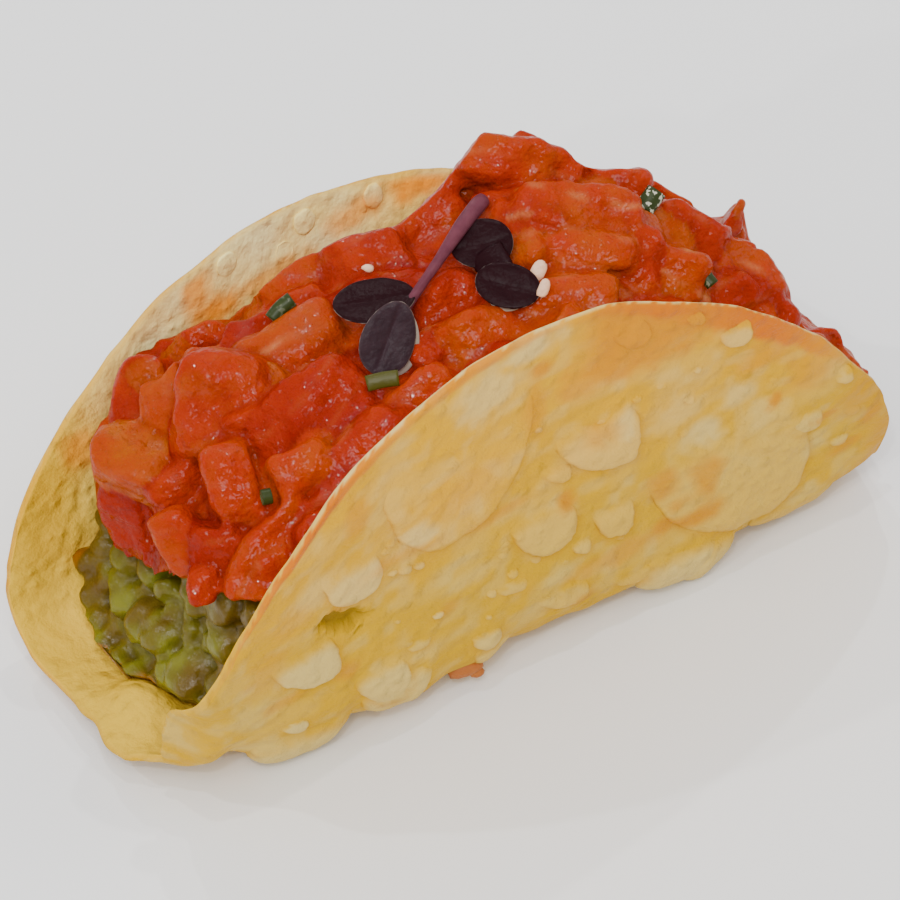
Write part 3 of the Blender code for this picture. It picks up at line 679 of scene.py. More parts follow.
def wall_tables():
    """Inner face of the trough: for each x the heights and sideways places of both walls, and the rim heights."""
    xs = np.arange(-40.0, 42.1, 1.0)
    places = np.concatenate([np.linspace(-60, -0.5, 160), np.linspace(0.5, 50, 130)])
    xx, ss = np.meshgrid(xs, places, indexing="ij")
    p = fold(xx, ss, ripple(xx, ss) - SHEET / 2)
    return xs, p[:, :160, 1][:, ::-1], p[:, :160, 2][:, ::-1], p[:, 160:, 1], p[:, 160:, 2]


def kept_inside(points, tables, gap):
    """Points moved sideways so that they stay between the flaps."""
    xs, near_y, near_z, far_y, far_z = tables
    at = np.clip(points[:, 0] - xs[0], 0, len(xs) - 1.001)
    row = at.astype(int)
    share = at - row
    bound = []
    for ys, zs in ((near_y, near_z), (far_y, far_z)):
        low = np.zeros(len(points))
        high = np.zeros(len(points))
        for k in range(len(xs)):
            for target, pick in ((low, row == k), (high, row + 1 == k)):
                if pick.any():
                    target[pick] = np.interp(points[pick, 2], np.maximum.accumulate(zs[k]), ys[k])
        bound.append(low + share * (high - low))
    points = points.copy()
    points[:, 1] = np.clip(points[:, 1], bound[0] + gap, bound[1] - gap)
    return points


def press_in(corners, tree, allowed):
    """Shift that leaves the points standing out of the surface by no more than allowed."""
    shift = Vector((0.0, 0.0, 0.0))
    for _ in range(4):
        most, way = allowed, None
        for p in corners:
            at = Vector(p) + shift
            spot, normal, _, _ = tree.find_nearest(at)
            if (at - spot).dot(normal) > most:
                most, way = (at - spot).dot(normal), normal.copy()
        if way is None:
            break
        shift -= way * (most - allowed)
    return np.array(shift)


def held_below(points):
    """Points kept under the crest, right of the open end's outline and above the avocado."""
    up = points @ TOP
    out = np.interp(up, *np.array(LEFT_EDGE).T) - points @ SIDE
    points = points + np.where(up < 22, np.maximum(out, 0), 0)[:, None] * 0.96 * SIDE
    over = points @ TOP - np.interp(points @ SIDE, *np.array(CREST).T)
    points = points - np.maximum(over, 0)[:, None] * 0.96 * TOP
    low = np.interp(points[:, 1], *np.array(UNDERCUT).T) - UNDERCUT_FADE * np.maximum(points[:, 0] - UNDERCUT_X, 0)
    low = low + 1.0 * grain(points, 2.6, 91)
    lift = np.maximum(low - points[:, 2], 0)
    points[:, 2] += np.where(points[:, 0] < -10, lift, 0)
    return points


def hollowness(points, quads, rounds=7):
    """How far each point lies below its smoothed surroundings, in millimetres."""
    normal = point_normals(points, quads)
    return ((smoothed(points, quads, rounds, 0.6) - points) * normal).sum(1)


def make_salmon():
    cad, tris, normal = node_points("salmon_tartare")
    tree = BVHTree.FromPolygons([tuple(p) for p in cad], [tuple(t) for t in tris.tolist()])
    height = surface_finder(tree)
    push = np.where(normal[:, 2] > 0.35, -CORE_SINK, 0.35)
    push = np.where(normal[:, 0] < -0.3, -1.9, push)
    core = cad + normal * push[:, None]
    low = cad[:, 2] < 18.0
    core[low] = cad[low] + normal[low] * 0.2
    rows = [list(np.array(r[:3]) - DICE_SINK * np.array(OUT) * (r[0] < 33)) + list(r[3:]) for r in DICE]
    rng = np.random.default_rng(11)
    tries = 0
    while len(rows) < 118 and tries < 4000:
        tries += 1
        x, y = rng.uniform(-30, 38), rng.uniform(-19, 24)
        z = height(x, y)
        sizes = np.sort(rng.uniform((1.3, 1.7, 2.4), (2.0, 2.8, 4.4)))[::-1]
        spin, lean, turn = rng.uniform(-90, 90), rng.uniform(-50, 50), rng.uniform(-30, 30)
        tint, fat = rng.uniform(0.1, 0.8), rng.uniform(0, 0.5)
        if z is None or z < 11 or height(x - 1.5, y) is None or height(x + 1.5, y) is None:
            continue
        at = np.array([x, y, z - 1.25 * sizes[2]])
        near = min(np.linalg.norm(at - r[:3]) - 0.4 * (r[3] + r[4]) for r in rows)
        if near < 0.9:
            continue
        rows.append([*at, *sizes, spin, lean, turn, tint, fat])
    ball, ball_faces = cube_ball(9)
    unit = ball / (np.abs(ball) ** DICE_EDGE).sum(1, keepdims=True) ** (1 / DICE_EDGE)
    parts = [(core, tris)]
    axes = []
    for i, row in enumerate(rows):
        half, rot = np.array(row[3:6]), turned(*row[6:9])
        axes.append(rot)
        local = unit * half
        warp = np.stack([grain(local + 40 * k, 3.6, 200 + i) for k in range(3)], -1)
        local = local + 0.75 * warp * np.minimum(half, 2.5) / 2.0
        if row[0] < 33:
            allowed = DICE_PROUD if i < len(DICE) else FILL_PROUD
            row[:3] = list(np.array(row[:3]) + press_in((local @ rot + row[:3])[::7], tree, allowed))
        parts.append((local @ rot + row[:3], ball_faces))
    parts = [(held_below(p), f) for p, f in parts]
    points, quads = remeshed("salmon", parts, CUT_SIZE)
    owner_f = np.full(len(points), 9e9)
    second = np.full(len(points), 9e9)
    tint, fat = np.full(len(points), 0.25), np.zeros(len(points))
    for row, rot in zip(rows, axes):
        near = np.abs(points - row[:3]).max(1) < 9.0
        local = (points[near] - row[:3]) @ rot.T
        f = (np.abs(local / row[3:6]) ** DICE_EDGE).sum(1) ** (1 / DICE_EDGE)
        f = (f - 1) * min(row[3:6])
        bend = 0.6 * np.sin(local[:, 0] * 0.4 + row[0]) + 0.25 * grain(local, 1.5, 7)
        lines = np.abs(np.sin(np.pi * (local[:, 1] + bend) / 3.3 + row[1]))
        line = row[10] * smoothstep((0.50 - lines) / 0.45) * smoothstep(0.6 + grain(local, 2.0, 8))
        better = f < owner_f[near]
        second[near] = np.where(better, owner_f[near], np.minimum(second[near], f))
        index = np.flatnonzero(near)[better]
        owner_f[index], tint[index], fat[index] = f[better], row[9], line[better]
    crease = smoothstep(1 - (second - owner_f) / 0.7)
    sunk = smoothstep((owner_f - 0.25) / 0.8)
    n = point_normals(points, quads)
    points = smoothed(points, quads, 1, 0.5)
    relief = 0.15 * grain(points, 1.9, 71) + 0.13 * grain(points, 0.9, 72)
    points = points + n * (relief * (1 - 0.5 * crease))[:, None]
    points = kept_inside(points, wall_tables(), 0.05)
    # deep: dice darkened where they sink into the heap, in creases between dice and in hollows: painted shade
    deep = np.clip(0.45 * sunk + 0.25 * crease + 1.6 * hollowness(points, quads), 0, 1)
    colour = np.stack([tint + 0.15 * grain(points, 2.5, 73), fat * (1 - deep), deep, np.ones(len(points))], -1)
    ob = new_mesh("salmon_dice", points, [tuple(q) for q in quads.tolist()], {"flesh": colour})
    return ob


# --- mashed avocado ---
# lumps in sight at the open end: x, y, z, radius
MASH = (
    (-28.9, -4.3, 16.0, 1.7), (-28.6, -6.5, 17.8, 1.7), (-28.8, -9.3, 19.6, 1.9), (-29.4, -9.4, 15.4, 1.9),
    (-29.9, -9.2, 13.6, 1.3), (-28.6, -1.6, 15.0, 1.5), (-30.8, 3.0, 8.4, 2.4), (-30.9, 0.4, 8.8, 2.2),
    (-31.2, -4.2, 7.8, 2.2), (-31.6, -2.2, 6.4, 1.8), (-30.8, 6.5, 7.8, 2.0), (-30.3, 11.0, 7.0, 1.9),
    (-29.6, 12.3, 9.6, 1.7), (-29.5, 8.6, 11.4, 1.9), (-29.0, 5.2, 12.2, 1.7), (-28.4, 7.8, 13.4, 1.4),
    (-30.4, 8.3, 8.7, 1.8), (-29.4, 1.6, 13.0, 1.3), (-27.6, -12.5, 20.5, 2.2), (-28.6, 13.2, 12.0, 1.6),
    (-30.4, -8.6, 9.6, 1.5), (-28.2, -8.0, 16.5, 2.4), (-27.8, -1.0, 17.5, 1.9), (-27.6, 3.8, 15.5, 1.9),
)
MASH_FOOT = (
    (-33.3, 5.0, 3.0, 1.6), (-33.2, 7.5, 3.4, 1.5), (-32.6, 9.8, 4.2, 1.5), (-31.9, 12.0, 5.4, 1.4), (-33.3, 2.4, 3.0, 1.6),
    (-33.0, -0.2, 3.2, 1.5), (-32.8, -2.8, 3.6, 1.5), (-32.2, -5.6, 4.8, 1.5), (-31.6, -8.2, 6.0, 1.4), (-31.2, 13.6, 7.6, 1.3),
    (-33.8, 6.2, 2.2, 1.1), (-34.0, 3.6, 2.0, 1.2), (-33.2, 8.7, 2.9, 1.2),
)
HOLLOWS = ((-30.0, -6.2, 11.8, 2.0, 1.3), (-30.2, -1.6, 11.8, 1.6, 1.2), (-29.6, 3.6, 10.8, 1.0, 0.7), (-30.6, -9.6, 10.8, 1.2, 0.6),
           (-29.6, 10.2, 9.0, 1.1, 0.8), (-29.2, 6.8, 9.8, 0.9, 0.7))
MASH_SIZE = 0.34


def ball_points(rings, spokes):
    """Unit ball: points and faces."""
    bm = bmesh.new()
    bmesh.ops.create_uvsphere(bm, u_segments=spokes, v_segments=rings, radius=1.0)
    points = np.array([v.co for v in bm.verts])
    faces = [[v.index for v in f.verts] for f in bm.faces]
    bm.free()
    return points, faces


def make_mash():
    cad, tris, normal = node_points("guacamole")
    core = cad + normal * np.where(normal[:, 0] < -0.4, -0.7, -0.1)[:, None]
    rng = np.random.default_rng(23)
    lumps = list(MASH + MASH_FOOT)
    tree = BVHTree.FromPolygons([tuple(p) for p in cad], [tuple(t) for t in tris.tolist()])
    for _ in range(70):
        y, z = rng.uniform(-13, 14), rng.uniform(3, 18)
        hit = tree.ray_cast(Vector((-60.0, y, z)), Vector((1, 0, 0)))
        r = rng.uniform(0.55, 1.25)
        if hit[0] is not None and hit[0].x < -24:
            lumps.append((hit[0].x + 0.45 * r, y, z, r))
    ball, faces = ball_points(10, 16)
    tri_faces = [[f[0], f[k], f[k + 1]] for f in faces for k in range(1, len(f) - 1)]
    parts = [(core, tris)]
    for i, (x, y, z, r) in enumerate(lumps):
        shape = ball * (1 + 0.22 * grain(ball * 1.3, 1.0, 500 + i)[:, None]) * r * np.array((1.0, 1.0 + 0.15 * math.sin(i), 1.0))
        parts.append((shape + (x, y, z), tri_faces))
    points, quads = remeshed("mash", parts, MASH_SIZE)
    points = smoothed(points, quads, 2, 0.5)
    n = point_normals(points, quads)
    front = smoothstep((-22.0 - points[:, 0]) / 3.0)
    relief = 0.30 * grain(points, 1.9, 81) + 0.18 * grain(points, 0.95, 82)
    points = points + n * (relief * front)[:, None]
    for x, y, z, r, deep in HOLLOWS:
        near = np.exp(-((points - (x, y, z)) ** 2).sum(1) / (r * r))
        points[:, 0] += deep * near
    short = np.interp(points @ SIDE, *np.array(MASH_EDGE).T) + 0.5 * grain(points, 2.0, 86) - points @ TOP
    points[:, 0] += np.clip(short, 0, 3.0) * 1.3
    points = kept_inside(points, wall_tables(), 0.05)
    # hollow: the mash is darkened in its hollows, painted shade
    hollow = np.clip(0.5 + 1.5 * hollowness(points, quads, 10), 0, 1)
    green = 0.5 + 0.5 * grain(points, 3.2, 83) + 0.2 * grain(points, 1.1, 84)
    middle = np.exp(-((points[:, 1] - 1.5) / 3.5) ** 2 - ((points[:, 2] - 8.5) / 2.6) ** 2)
    green = green + 0.5 * middle
    xs, near_y, near_z, far_y, far_z = wall_tables()
    k = np.clip((points[:, 0] - xs[0]).astype(int), 0, len(xs) - 1)
    gap = np.full(len(points), 9.0)
    for row in np.unique(k):
        pick = k == row
        z = points[pick, 2]
        left = np.interp(z, np.maximum.accumulate(near_z[row]), near_y[row])
        right = np.interp(z, np.maximum.accumulate(far_z[row]), far_y[row])
        gap[pick] = np.minimum(points[pick, 1] - left, right - points[pick, 1])
    foot = points[:, 2] - 2.2
    oil = smoothstep((1.7 + 0.7 * grain(points, 1.6, 85) - np.minimum(gap, foot)) / 1.5)
    colour = np.stack([green, hollow, oil, np.ones(len(points))], -1)
    return new_mesh("avocado_mash", points, [tuple(q) for q in quads.tolist()], {"mash": colour})


# --- sprouts and small bits ---

def leaf(centre, spin, lean, turn, long, wide, cup, broad, thick=0.32, seed=0):
    """Cupped leaf pointing along its first axis; broad > 0 widens the tip. Returns points, faces, marks."""
    spokes, levels = 44, (0.0, 0.15, 0.30, 0.45, 0.60, 0.74, 0.86, 0.94, 0.985, 1.0)
    rot = turned(spin, lean, turn)
    phi = np.linspace(0, 2 * np.pi, spokes, endpoint=False)
    rings, marks = [], []
    for face in (1, -1):
        for level in levels:
            a, b = level * np.cos(phi), level * np.sin(phi)
            u = a * long
            v = b * wide * (1 + broad * a)
            w = cup * (u * u / long + v * v / wide) * 0.25
            w = w + 0.10 * grain(np.stack([u, v, np.full_like(u, 3.0)], -1), 1.3, seed + 5) * level
            w = w + face * thick / 2 * math.sqrt(max(1 - level ** 6, 0)) - 0.10 * np.exp(-(v / 0.22) ** 2) * (face > 0) * (level < 0.9)
            rings.append(np.stack([u, v, w], -1) @ rot + centre)
            vein = np.exp(-(v / 0.2) ** 2)
            side = np.abs(np.sin(2.1 * (u - 0.9 * np.abs(v))))
            vein = np.maximum(vein, 0.5 * (side < 0.2))
            marks.append(np.stack([np.full_like(u, smoothstep((level - 0.95) / 0.05)), vein * (level < 0.95), np.full_like(u, 0.5 - 0.5 * face), np.zeros_like(u)], -1))
    n = len(levels)
    faces = []
    for f in (0, 1):
        for k in range(n - 1):
            for i in range(spokes):
                j = (i + 1) % spokes
                a, b, c, d = ((f * n + k) * spokes + i, (f * n + k) * spokes + j, (f * n + k + 1) * spokes + j, (f * n + k + 1) * spokes + i)
                faces.append((a, b, c, d) if f else (d, c, b, a))
    return np.concatenate(rings), faces, np.concatenate(marks)


def tube(path, radii, spokes=14, steps=10, mark=(0, 0, 0, 1), hollow=0.0, squash=1.0):
    """Bent round stalk or hollow straw through the points."""
    path, radii = np.array(path, float), np.array(radii, float)
    t = np.linspace(0, len(path) - 1, steps * (len(path) - 1) + 1)
    keys = np.arange(len(path))
    line = np.stack([np.interp(t, keys, path[:, k]) for k in range(3)], -1)
    for _ in range(6):
        line[1:-1] = 0.5 * line[1:-1] + 0.25 * (line[:-2] + line[2:])
    r = np.interp(t, keys, radii)
    along = np.gradient(line, axis=0)
    along /= np.linalg.norm(along, axis=1, keepdims=True)
    side = np.cross(along, np.array(OUT))
    side /= np.linalg.norm(side, axis=1, keepdims=True)
    top = np.cross(side, along)
    phi = np.linspace(0, 2 * np.pi, spokes, endpoint=False)
    skins = [1.0] if not hollow else [1.0, hollow]
    points, faces, start = [], [], 0
    for skin_r in skins:
        for c, rr, a, b in zip(line, r, side, top):
            points.append(c + rr * skin_r * (np.cos(phi)[:, None] * a + squash * np.sin(phi)[:, None] * b))
    n = len(line)
    for q in range(len(skins)):
        for k in range(n - 1):
            for i in range(spokes):
                j = (i + 1) % spokes
                a, b, c, d = ((q * n + k) * spokes + i, (q * n + k) * spokes + j, (q * n + k + 1) * spokes + j, (q * n + k + 1) * spokes + i)
                faces.append((a, b, c, d) if q == 0 else (d, c, b, a))
    if hollow:
        for k in (0, n - 1):
            for i in range(spokes):
                j = (i + 1) % spokes
                a, b, c, d = (k * spokes + i, k * spokes + j, (n + k) * spokes + j, (n + k) * spokes + i)
                faces.append((d, c, b, a) if k == 0 else (a, b, c, d))
    else:
        faces.append(tuple(range(spokes))[::-1])
        faces.append(tuple((n - 1) * spokes + i for i in range(spokes)))
    points = np.concatenate(points)
    marks = np.tile(np.array(mark, float), (len(points), 1))
    if hollow:
        marks[len(points) // 2:, 0] = 1.0
    return points, faces, marks


def joined(name, key, parts):
    points, faces, marks, start = [], [], [], 0
    for p, f, m in parts:
        points.append(p)
        marks.append(m)
        faces += [tuple(start + k for k in face) for face in f]
        start += len(p)
    ob = new_mesh(name, np.concatenate(points), faces, {key: np.concatenate(marks)})
    bm = bmesh.new()
    bm.from_mesh(ob.data)
    bmesh.ops.remove_doubles(bm, verts=bm.verts, dist=2e-6)
    bmesh.ops.recalc_face_normals(bm, faces=bm.faces)
    bm.to_mesh(ob.data)
    bm.free()
    return ob


INTO_HEAP = np.array((0.36, 0.62, -0.70))      # down and back, onto the heap


def settled(shape, by):
    """Shape moved onto the heap by so many mm."""
    return shape[0] + by * INTO_HEAP, shape[1], shape[2]


def make_sprouts():
    """Two sprouts, each laid on the dice below it."""
    stem = tube([(5.9, 1.9, 42.3), (5.2, 1.5, 42.5), (2.5, 0.1, 42.3), (-0.9, -1.5, 41.2), (-2.9, -2.1, 40.1), (-4.7, -2.7, 39.2), (-6.0, -3.6, 38.9)],
                (0.70, 0.78, 0.72, 0.50, 0.44, 0.46, 0.30), squash=0.8)
    upper = leaf((-7.9, -1.5, 39.7), 189, 38, 0, 3.75, 2.55, 0.18, 0.02, seed=1)
    lower = leaf((-8.9, -5.5, 38.8), 247, -4, 4, 3.45, 2.40, 0.25, 0.14, seed=2)
    lower[2][:, 3] = 0.5
    under = leaf((-8.35, -5.6, 38.0), 250, -6, 4, 3.10, 2.20, 0.10, 0.16, seed=3)
    under[2][:, 2] = 1.0
    long_sprout = joined("sprout_leaves_long", "leaf", [
        settled(stem, 2.0), settled(upper, 2.6), settled(lower, 1.6), settled(under, 1.5)])
    first = leaf((2.7, -2.9, 42.2), 10, 22, 0, 2.85, 2.45, 0.18, 0.10, seed=4)
    second = leaf((1.95, -8.4, 41.7), -18, 20, 0, 3.00, 2.20, 0.18, -0.02, seed=5)
    pale = leaf((1.75, -8.50, 41.0), -18, 16, 0, 1.90, 1.70, 0.05, 0.0, seed=6)
    pale[2][:, 2] = 1.0
    link = tube([(2.6, -3.6, 41.9), (2.3, -5.7, 41.8), (1.9, -7.6, 41.5)], (1.7, 1.6, 1.6), mark=(0, 0, 0, 0), squash=0.22)
    pair = joined("sprout_leaves_pair", "leaf", [settled(shape, 3.6) for shape in (first, second, pale, link)])
    return long_sprout, pair


def straw(centre, spin, lean, long, radius, squash=1.0, bend=0.0, hollow=0.62, mark=(0, 0, 0, 0)):
    """Cut length of chive."""
    rot = turned(spin, lean, 0)
    ends = [np.array(centre) + rot[0] * a * long + rot[1] * bend * (1 - (2 * a) ** 2) for a in (-0.5, 0.0, 0.5)]
    return tube(ends, (radius, radius, radius), spokes=18, steps=6, hollow=hollow, squash=squash, mark=mark)


def make_chives():
    # each mark: inside, painted highlight specks, olive tone, unused
    return joined("cut_chives", "herb", [
        straw((20.4, -3.2, 38.5), 52, 10, 2.1, 0.95, 0.75, 0.0, 0.55, (0, 0.9, 0, 0)),
        straw((21.4, -10.8, 34.6), 118, 5, 2.2, 0.62, 0.6, 0.15, 0.6, (0, 0.3, 0, 0)),
        straw((-13.3, 5.8, 35.9), 42, 5, 2.6, 0.72, 0.7, 0.2, 0.6, (0, 0.1, 0, 0)),
        straw((-11.0, -7.7, 36.4), 8, 0, 2.9, 0.72, 0.35, 0.1, 0.3, (0, 0.0, 0.8, 0)),
        straw((-24.6, -9.8, 31.3), 15, 55, 0.9, 0.72, 0.8, 0.0, 0.55, (0, 0.0, 0, 0)),
    ])


def bit(centre, spin, half, seed, mark=(0, 0, 0, 0)):
    """Small uneven lump."""
    ball, faces = ball_points(10, 14)
    shape = ball * (1 + 0.25 * grain(ball * 1.2, 1.0, seed)[:, None]) * np.array(half)
    return shape @ turned(spin, 0, 0) + np.array(centre), faces, np.tile(np.array(mark, float), (len(ball), 1))


# three small white bits, and one pale sliver on the salmon that is a painted highlight
def make_pale_bits_and_painted_glint():
    return joined("pale_bits_and_painted_glint", "bit", [
        bit((6.4, -6.4, 39.7), 60, (0.95, 0.70, 0.4), 1), bit((5.7, -8.2, 39.2), 70, (0.95, 0.55, 0.35), 2), bit((-4.8, 4.8, 37.2), -10, (0.5, 0.36, 0.3), 3),
        # thin pale sliver on the salmon at the open end: painted highlight, standing for a white glint streak
        bit((-30.0, -12.6, 25.8), -65, (1.0, 0.22, 0.2), 4),
    ])


def make_crumb():
    return joined("fallen_crumb", "bit", [
        bit((-7.4, -13.1, 2.2), 10, (1.6, 1.0, 0.9), 11), bit((-6.4, -13.4, 1.7), -20, (0.9, 0.7, 0.6), 12),
    ])


# --- materials ---

class Nodes:
    """Small helper for building node materials."""

    def __init__(self, name):
        self.mat = bpy.data.materials.new(name)
        self.mat.use_nodes = True
        self.tree = self.mat.node_tree
        self.bsdf = self.tree.nodes["Principled BSDF"]

    def add(self, kind, values=None, **props):
        node = self.tree.nodes.new(kind)
        for key, value in props.items():
            setattr(node, key, value)
        for key, value in (values or {}).items():
            socket = node.inputs[key]
            if isinstance(value, bpy.types.NodeSocket):
                self.tree.links.new(value, socket)
            else:
                socket.default_value = value
        return node

    def set(self, **values):
        for key, value in values.items():
            socket = self.bsdf.inputs[key.replace("_", " ")]
            if isinstance(value, bpy.types.NodeSocket):
                self.tree.links.new(value, socket)
            else:
                socket.default_value = value

    def noise(self, scale, detail=3.0, rough=0.55, vector=None):
        at = vector or self.add("ShaderNodeTexCoord").outputs["Object"]
        return self.add("ShaderNodeTexNoise", {"Vector": at, "Scale": scale, "Detail": detail, "Roughness": rough}).outputs["Fac"]

    def ramp(self, fac, stops, mode="LINEAR"):
        node = self.add("ShaderNodeValToRGB", {"Fac": fac})
        node.color_ramp.interpolation = mode
        while len(node.color_ramp.elements) < len(stops):
            node.color_ramp.elements.new(0.5)
        for element, (at, colour) in zip(node.color_ramp.elements, stops):
            element.position = at
            element.color = (*colour, 1.0) if len(colour) == 3 else colour
        return node.outputs["Color"]

    def mix(self, fac, a, b, blend="MIX"):
        node = self.add("ShaderNodeMix", data_type="RGBA", blend_type=blend)
        for socket, value in ((node.inputs[0], fac), (node.inputs[6], a), (node.inputs[7], b)):
            if isinstance(value, bpy.types.NodeSocket):
                self.tree.links.new(value, socket)
            else:
                socket.default_value = value if isinstance(value, (int, float)) else (*value, 1.0)
        return node.outputs[2]

    def math(self, op, a, b=0.0, clamp=False):
        node = self.add("ShaderNodeMath", {0: a, 1: b}, operation=op, use_clamp=clamp)
        return node.outputs[0]

    def channels(self, name):
        attr = self.add("ShaderNodeAttribute", attribute_name=name)
        split = self.add("ShaderNodeSeparateColor", {"Color": attr.outputs["Color"]})
        return [*(split.outputs[k] for k in ("Red", "Green", "Blue")), attr.outputs["Alpha"]]

    def bump(self, height, strength, distance, normal=None):
        values = {"Height": height, "Strength": strength, "Distance": distance}
        if normal:
            values["Normal"] = normal
        return self.add("ShaderNodeBump", values).outputs["Normal"]


def dough_material():
    n = Nodes("fried_dough_crust")
    pale, toast, oil, hollow = n.channels("tone")
    broad = n.noise(220.0, 4.0)
    fine = n.noise(1500.0, 3.0)
    inner, low, lines, torn_pit_shade = n.channels("place")
    base = n.mix(broad, (0.65, 0.31, 0.000), (0.70, 0.36, 0.000))
    # hollow mask: partly the low sheet's own darker colour, partly painted shade between the blisters
    base = n.mix(n.math("MULTIPLY", hollow, 0.8, True), base, (0.57, 0.30, 0.000))
    # inner face painted paler and brighter than the outside: partly its own colour, partly painted light where light
    # falls on the far wall
    base = n.mix(n.math("MULTIPLY", inner, 0.9), base, (0.93, 0.58, 0.02))
    base = n.mix(n.math("MULTIPLY", pale, 0.85, True), base, n.mix(inner, (0.68, 0.52, 0.21), (1.00, 0.97, 0.50)))
    base = n.mix(n.math("MULTIPLY", toast, 0.95, True), base, (0.60, 0.210, 0.000))
    base = n.mix(n.math("MULTIPLY", oil, 0.95, True), base, n.mix(inner, (0.58, 0.11, 0.000), (0.90, 0.28, 0.000)))
    end = n.mix(1.0, base, (0.76, 0.74, 0.50), "MULTIPLY")
    base = n.mix(n.math("MULTIPLY", inner, low), base, end)
    # painted shade: the near flap's outside darkened towards its lower part
    low = n.math("SUBTRACT", low, inner, True)
    base = n.mix(low, base, n.mix(1.0, base, (0.88, 0.97, 1.0), "MULTIPLY"))
    # lines: painted shadow, a dark brown line below each blister's lower edge
    base = n.mix(n.math("MULTIPLY", lines, 0.60, True), base, (0.48, 0.22, 0.004))
    # burst blister pit painted dark olive-brown: partly its interior colour, partly painted shade
    base = n.mix(n.math("MULTIPLY", torn_pit_shade, 0.9, True), base, (0.24, 0.14, 0.008))
    base = n.mix(n.math("MULTIPLY", fine, 0.16), base, (0.60, 0.32, 0.004))
    shine = n.math("SUBTRACT", 0.50, n.math("MULTIPLY", oil, 0.22))
    cells = n.add("ShaderNodeTexVoronoi", {"Vector": n.add("ShaderNodeTexCoord").outputs["Object"], "Scale": 620.0}, feature="SMOOTH_F1")
    bubbles = n.math("MULTIPLY", n.math("SUBTRACT", 0.55, cells.outputs["Distance"], True), n.noise(160.0, 2.0))
    rough = n.bump(n.noise(1100.0, 5.0), 0.8, 0.00035, n.bump(bubbles, 1.0, 0.0011))
    n.set(Base_Color=base, Roughness=shine, Normal=rough)
    n.bsdf.inputs["Specular IOR Level"].default_value = 0.05
    return n.mat


def salmon_material():
    n = Nodes("raw_salmon")
    tint, fat, deep, _ = n.channels("flesh")
    mottle = n.noise(420.0, 3.0)
    tone = n.math("ADD", n.math("MULTIPLY", mottle, 0.5), n.math("SUBTRACT", tint, 0.25))
    base = n.ramp(tone, ((0.0, (0.22, 0.006, 0.0)), (0.45, (0.32, 0.019, 0.0)), (0.8, (0.33, 0.046, 0.0)),
                         (1.0, (0.35, 0.080, 0.002))))
    # painted shade: dark red where the dice sink, meet and hollow
    base = n.mix(n.math("MULTIPLY", deep, 0.9, True), base, (0.12, 0.003, 0.000))
    base = n.mix(n.math("MULTIPLY", fat, 0.9, True), base, (0.48, 0.18, 0.06))
    coarse, fine = n.noise(620.0, 2.0), n.noise(2100.0, 2.0)
    normal = n.bump(fine, 0.8, 0.0003, n.bump(coarse, 0.6, 0.0008))
    wet = n.bump(n.noise(1300.0, 1.0), 0.55, 0.0004, n.bump(coarse, 0.45, 0.0007))
    n.set(Base_Color=base, Roughness=0.30, Normal=normal, Coat_Normal=wet)
    n.bsdf.inputs["Coat Weight"].default_value = 0.20
    n.bsdf.inputs["Coat Roughness"].default_value = 0.04
    n.bsdf.inputs["Subsurface Weight"].default_value = 0.25
    n.bsdf.inputs["Subsurface Radius"].default_value = (1.0, 0.25, 0.08)
    n.bsdf.inputs["Subsurface Scale"].default_value = 0.0012
    n.bsdf.inputs["Specular IOR Level"].default_value = 0.02
    return n.mat


def avocado_material():
    n = Nodes("mashed_avocado")
    green, hollow, oil, _ = n.channels("mash")
    tone = n.math("ADD", n.math("MULTIPLY", n.noise(700.0, 3.0), 0.4), n.math("SUBTRACT", green, 0.2))
    base = n.ramp(tone, ((0.0, (0.095, 0.054, 0.006)), (0.4, (0.115, 0.076, 0.005)), (0.7, (0.125, 0.106, 0.007)), (1.0, (0.16, 0.155, 0.012))))
    # painted shade: dark brown in the mash's hollows
    dark = n.math("MULTIPLY", n.math("SUBTRACT", hollow, 0.50), 1.8, True)
    base = n.mix(dark, base, (0.060, 0.040, 0.004))
    base = n.mix(n.math("MULTIPLY", oil, 0.75, True), base, (0.30, 0.10, 0.003))
    n.set(Base_Color=base, Roughness=0.28, Normal=n.bump(n.noise(1500.0, 3.0), 0.35, 0.0004))
    n.bsdf.inputs["Specular IOR Level"].default_value = 0.22
    n.bsdf.inputs["Subsurface Weight"].default_value = 0.12
    n.bsdf.inputs["Subsurface Radius"].default_value = (0.8, 0.7, 0.2)
    n.bsdf.inputs["Subsurface Scale"].default_value = 0.0008
    return n.mat


def cress_material():
    n = Nodes("cress_leaf")
    edge, vein, under, kind = n.channels("leaf")
    grey = n.math("SUBTRACT", 1.0, n.math("MULTIPLY", n.math("ABSOLUTE", n.math("SUBTRACT", kind, 0.5)), 2.0), True)
    stem = n.math("GREATER_THAN", kind, 0.75)
    mottle = n.noise(900.0, 4.0)
    dark = n.mix(mottle, (0.009, 0.001, 0.002), (0.017, 0.004, 0.006))
    greyish = n.mix(n.math("MULTIPLY", vein, 0.5), n.mix(mottle, (0.014, 0.006, 0.009), (0.036, 0.020, 0.026)), (0.03, 0.014, 0.02))
    base = n.mix(grey, dark, greyish)
    base = n.mix(n.math("MULTIPLY", edge, n.math("MULTIPLY", grey, 0.25)), base, (0.14, 0.09, 0.09))
    base = n.mix(n.math("MULTIPLY", under, 1.0, True), base, (0.28, 0.24, 0.20))
    base = n.mix(stem, base, n.mix(mottle, (0.060, 0.012, 0.024), (0.15, 0.045, 0.062)))
    n.set(Base_Color=base, Roughness=0.30, Normal=n.bump(n.noise(2200.0, 3.0), 0.3, 0.0002))
    n.bsdf.inputs["Specular IOR Level"].default_value = 0.05
    return n.mat


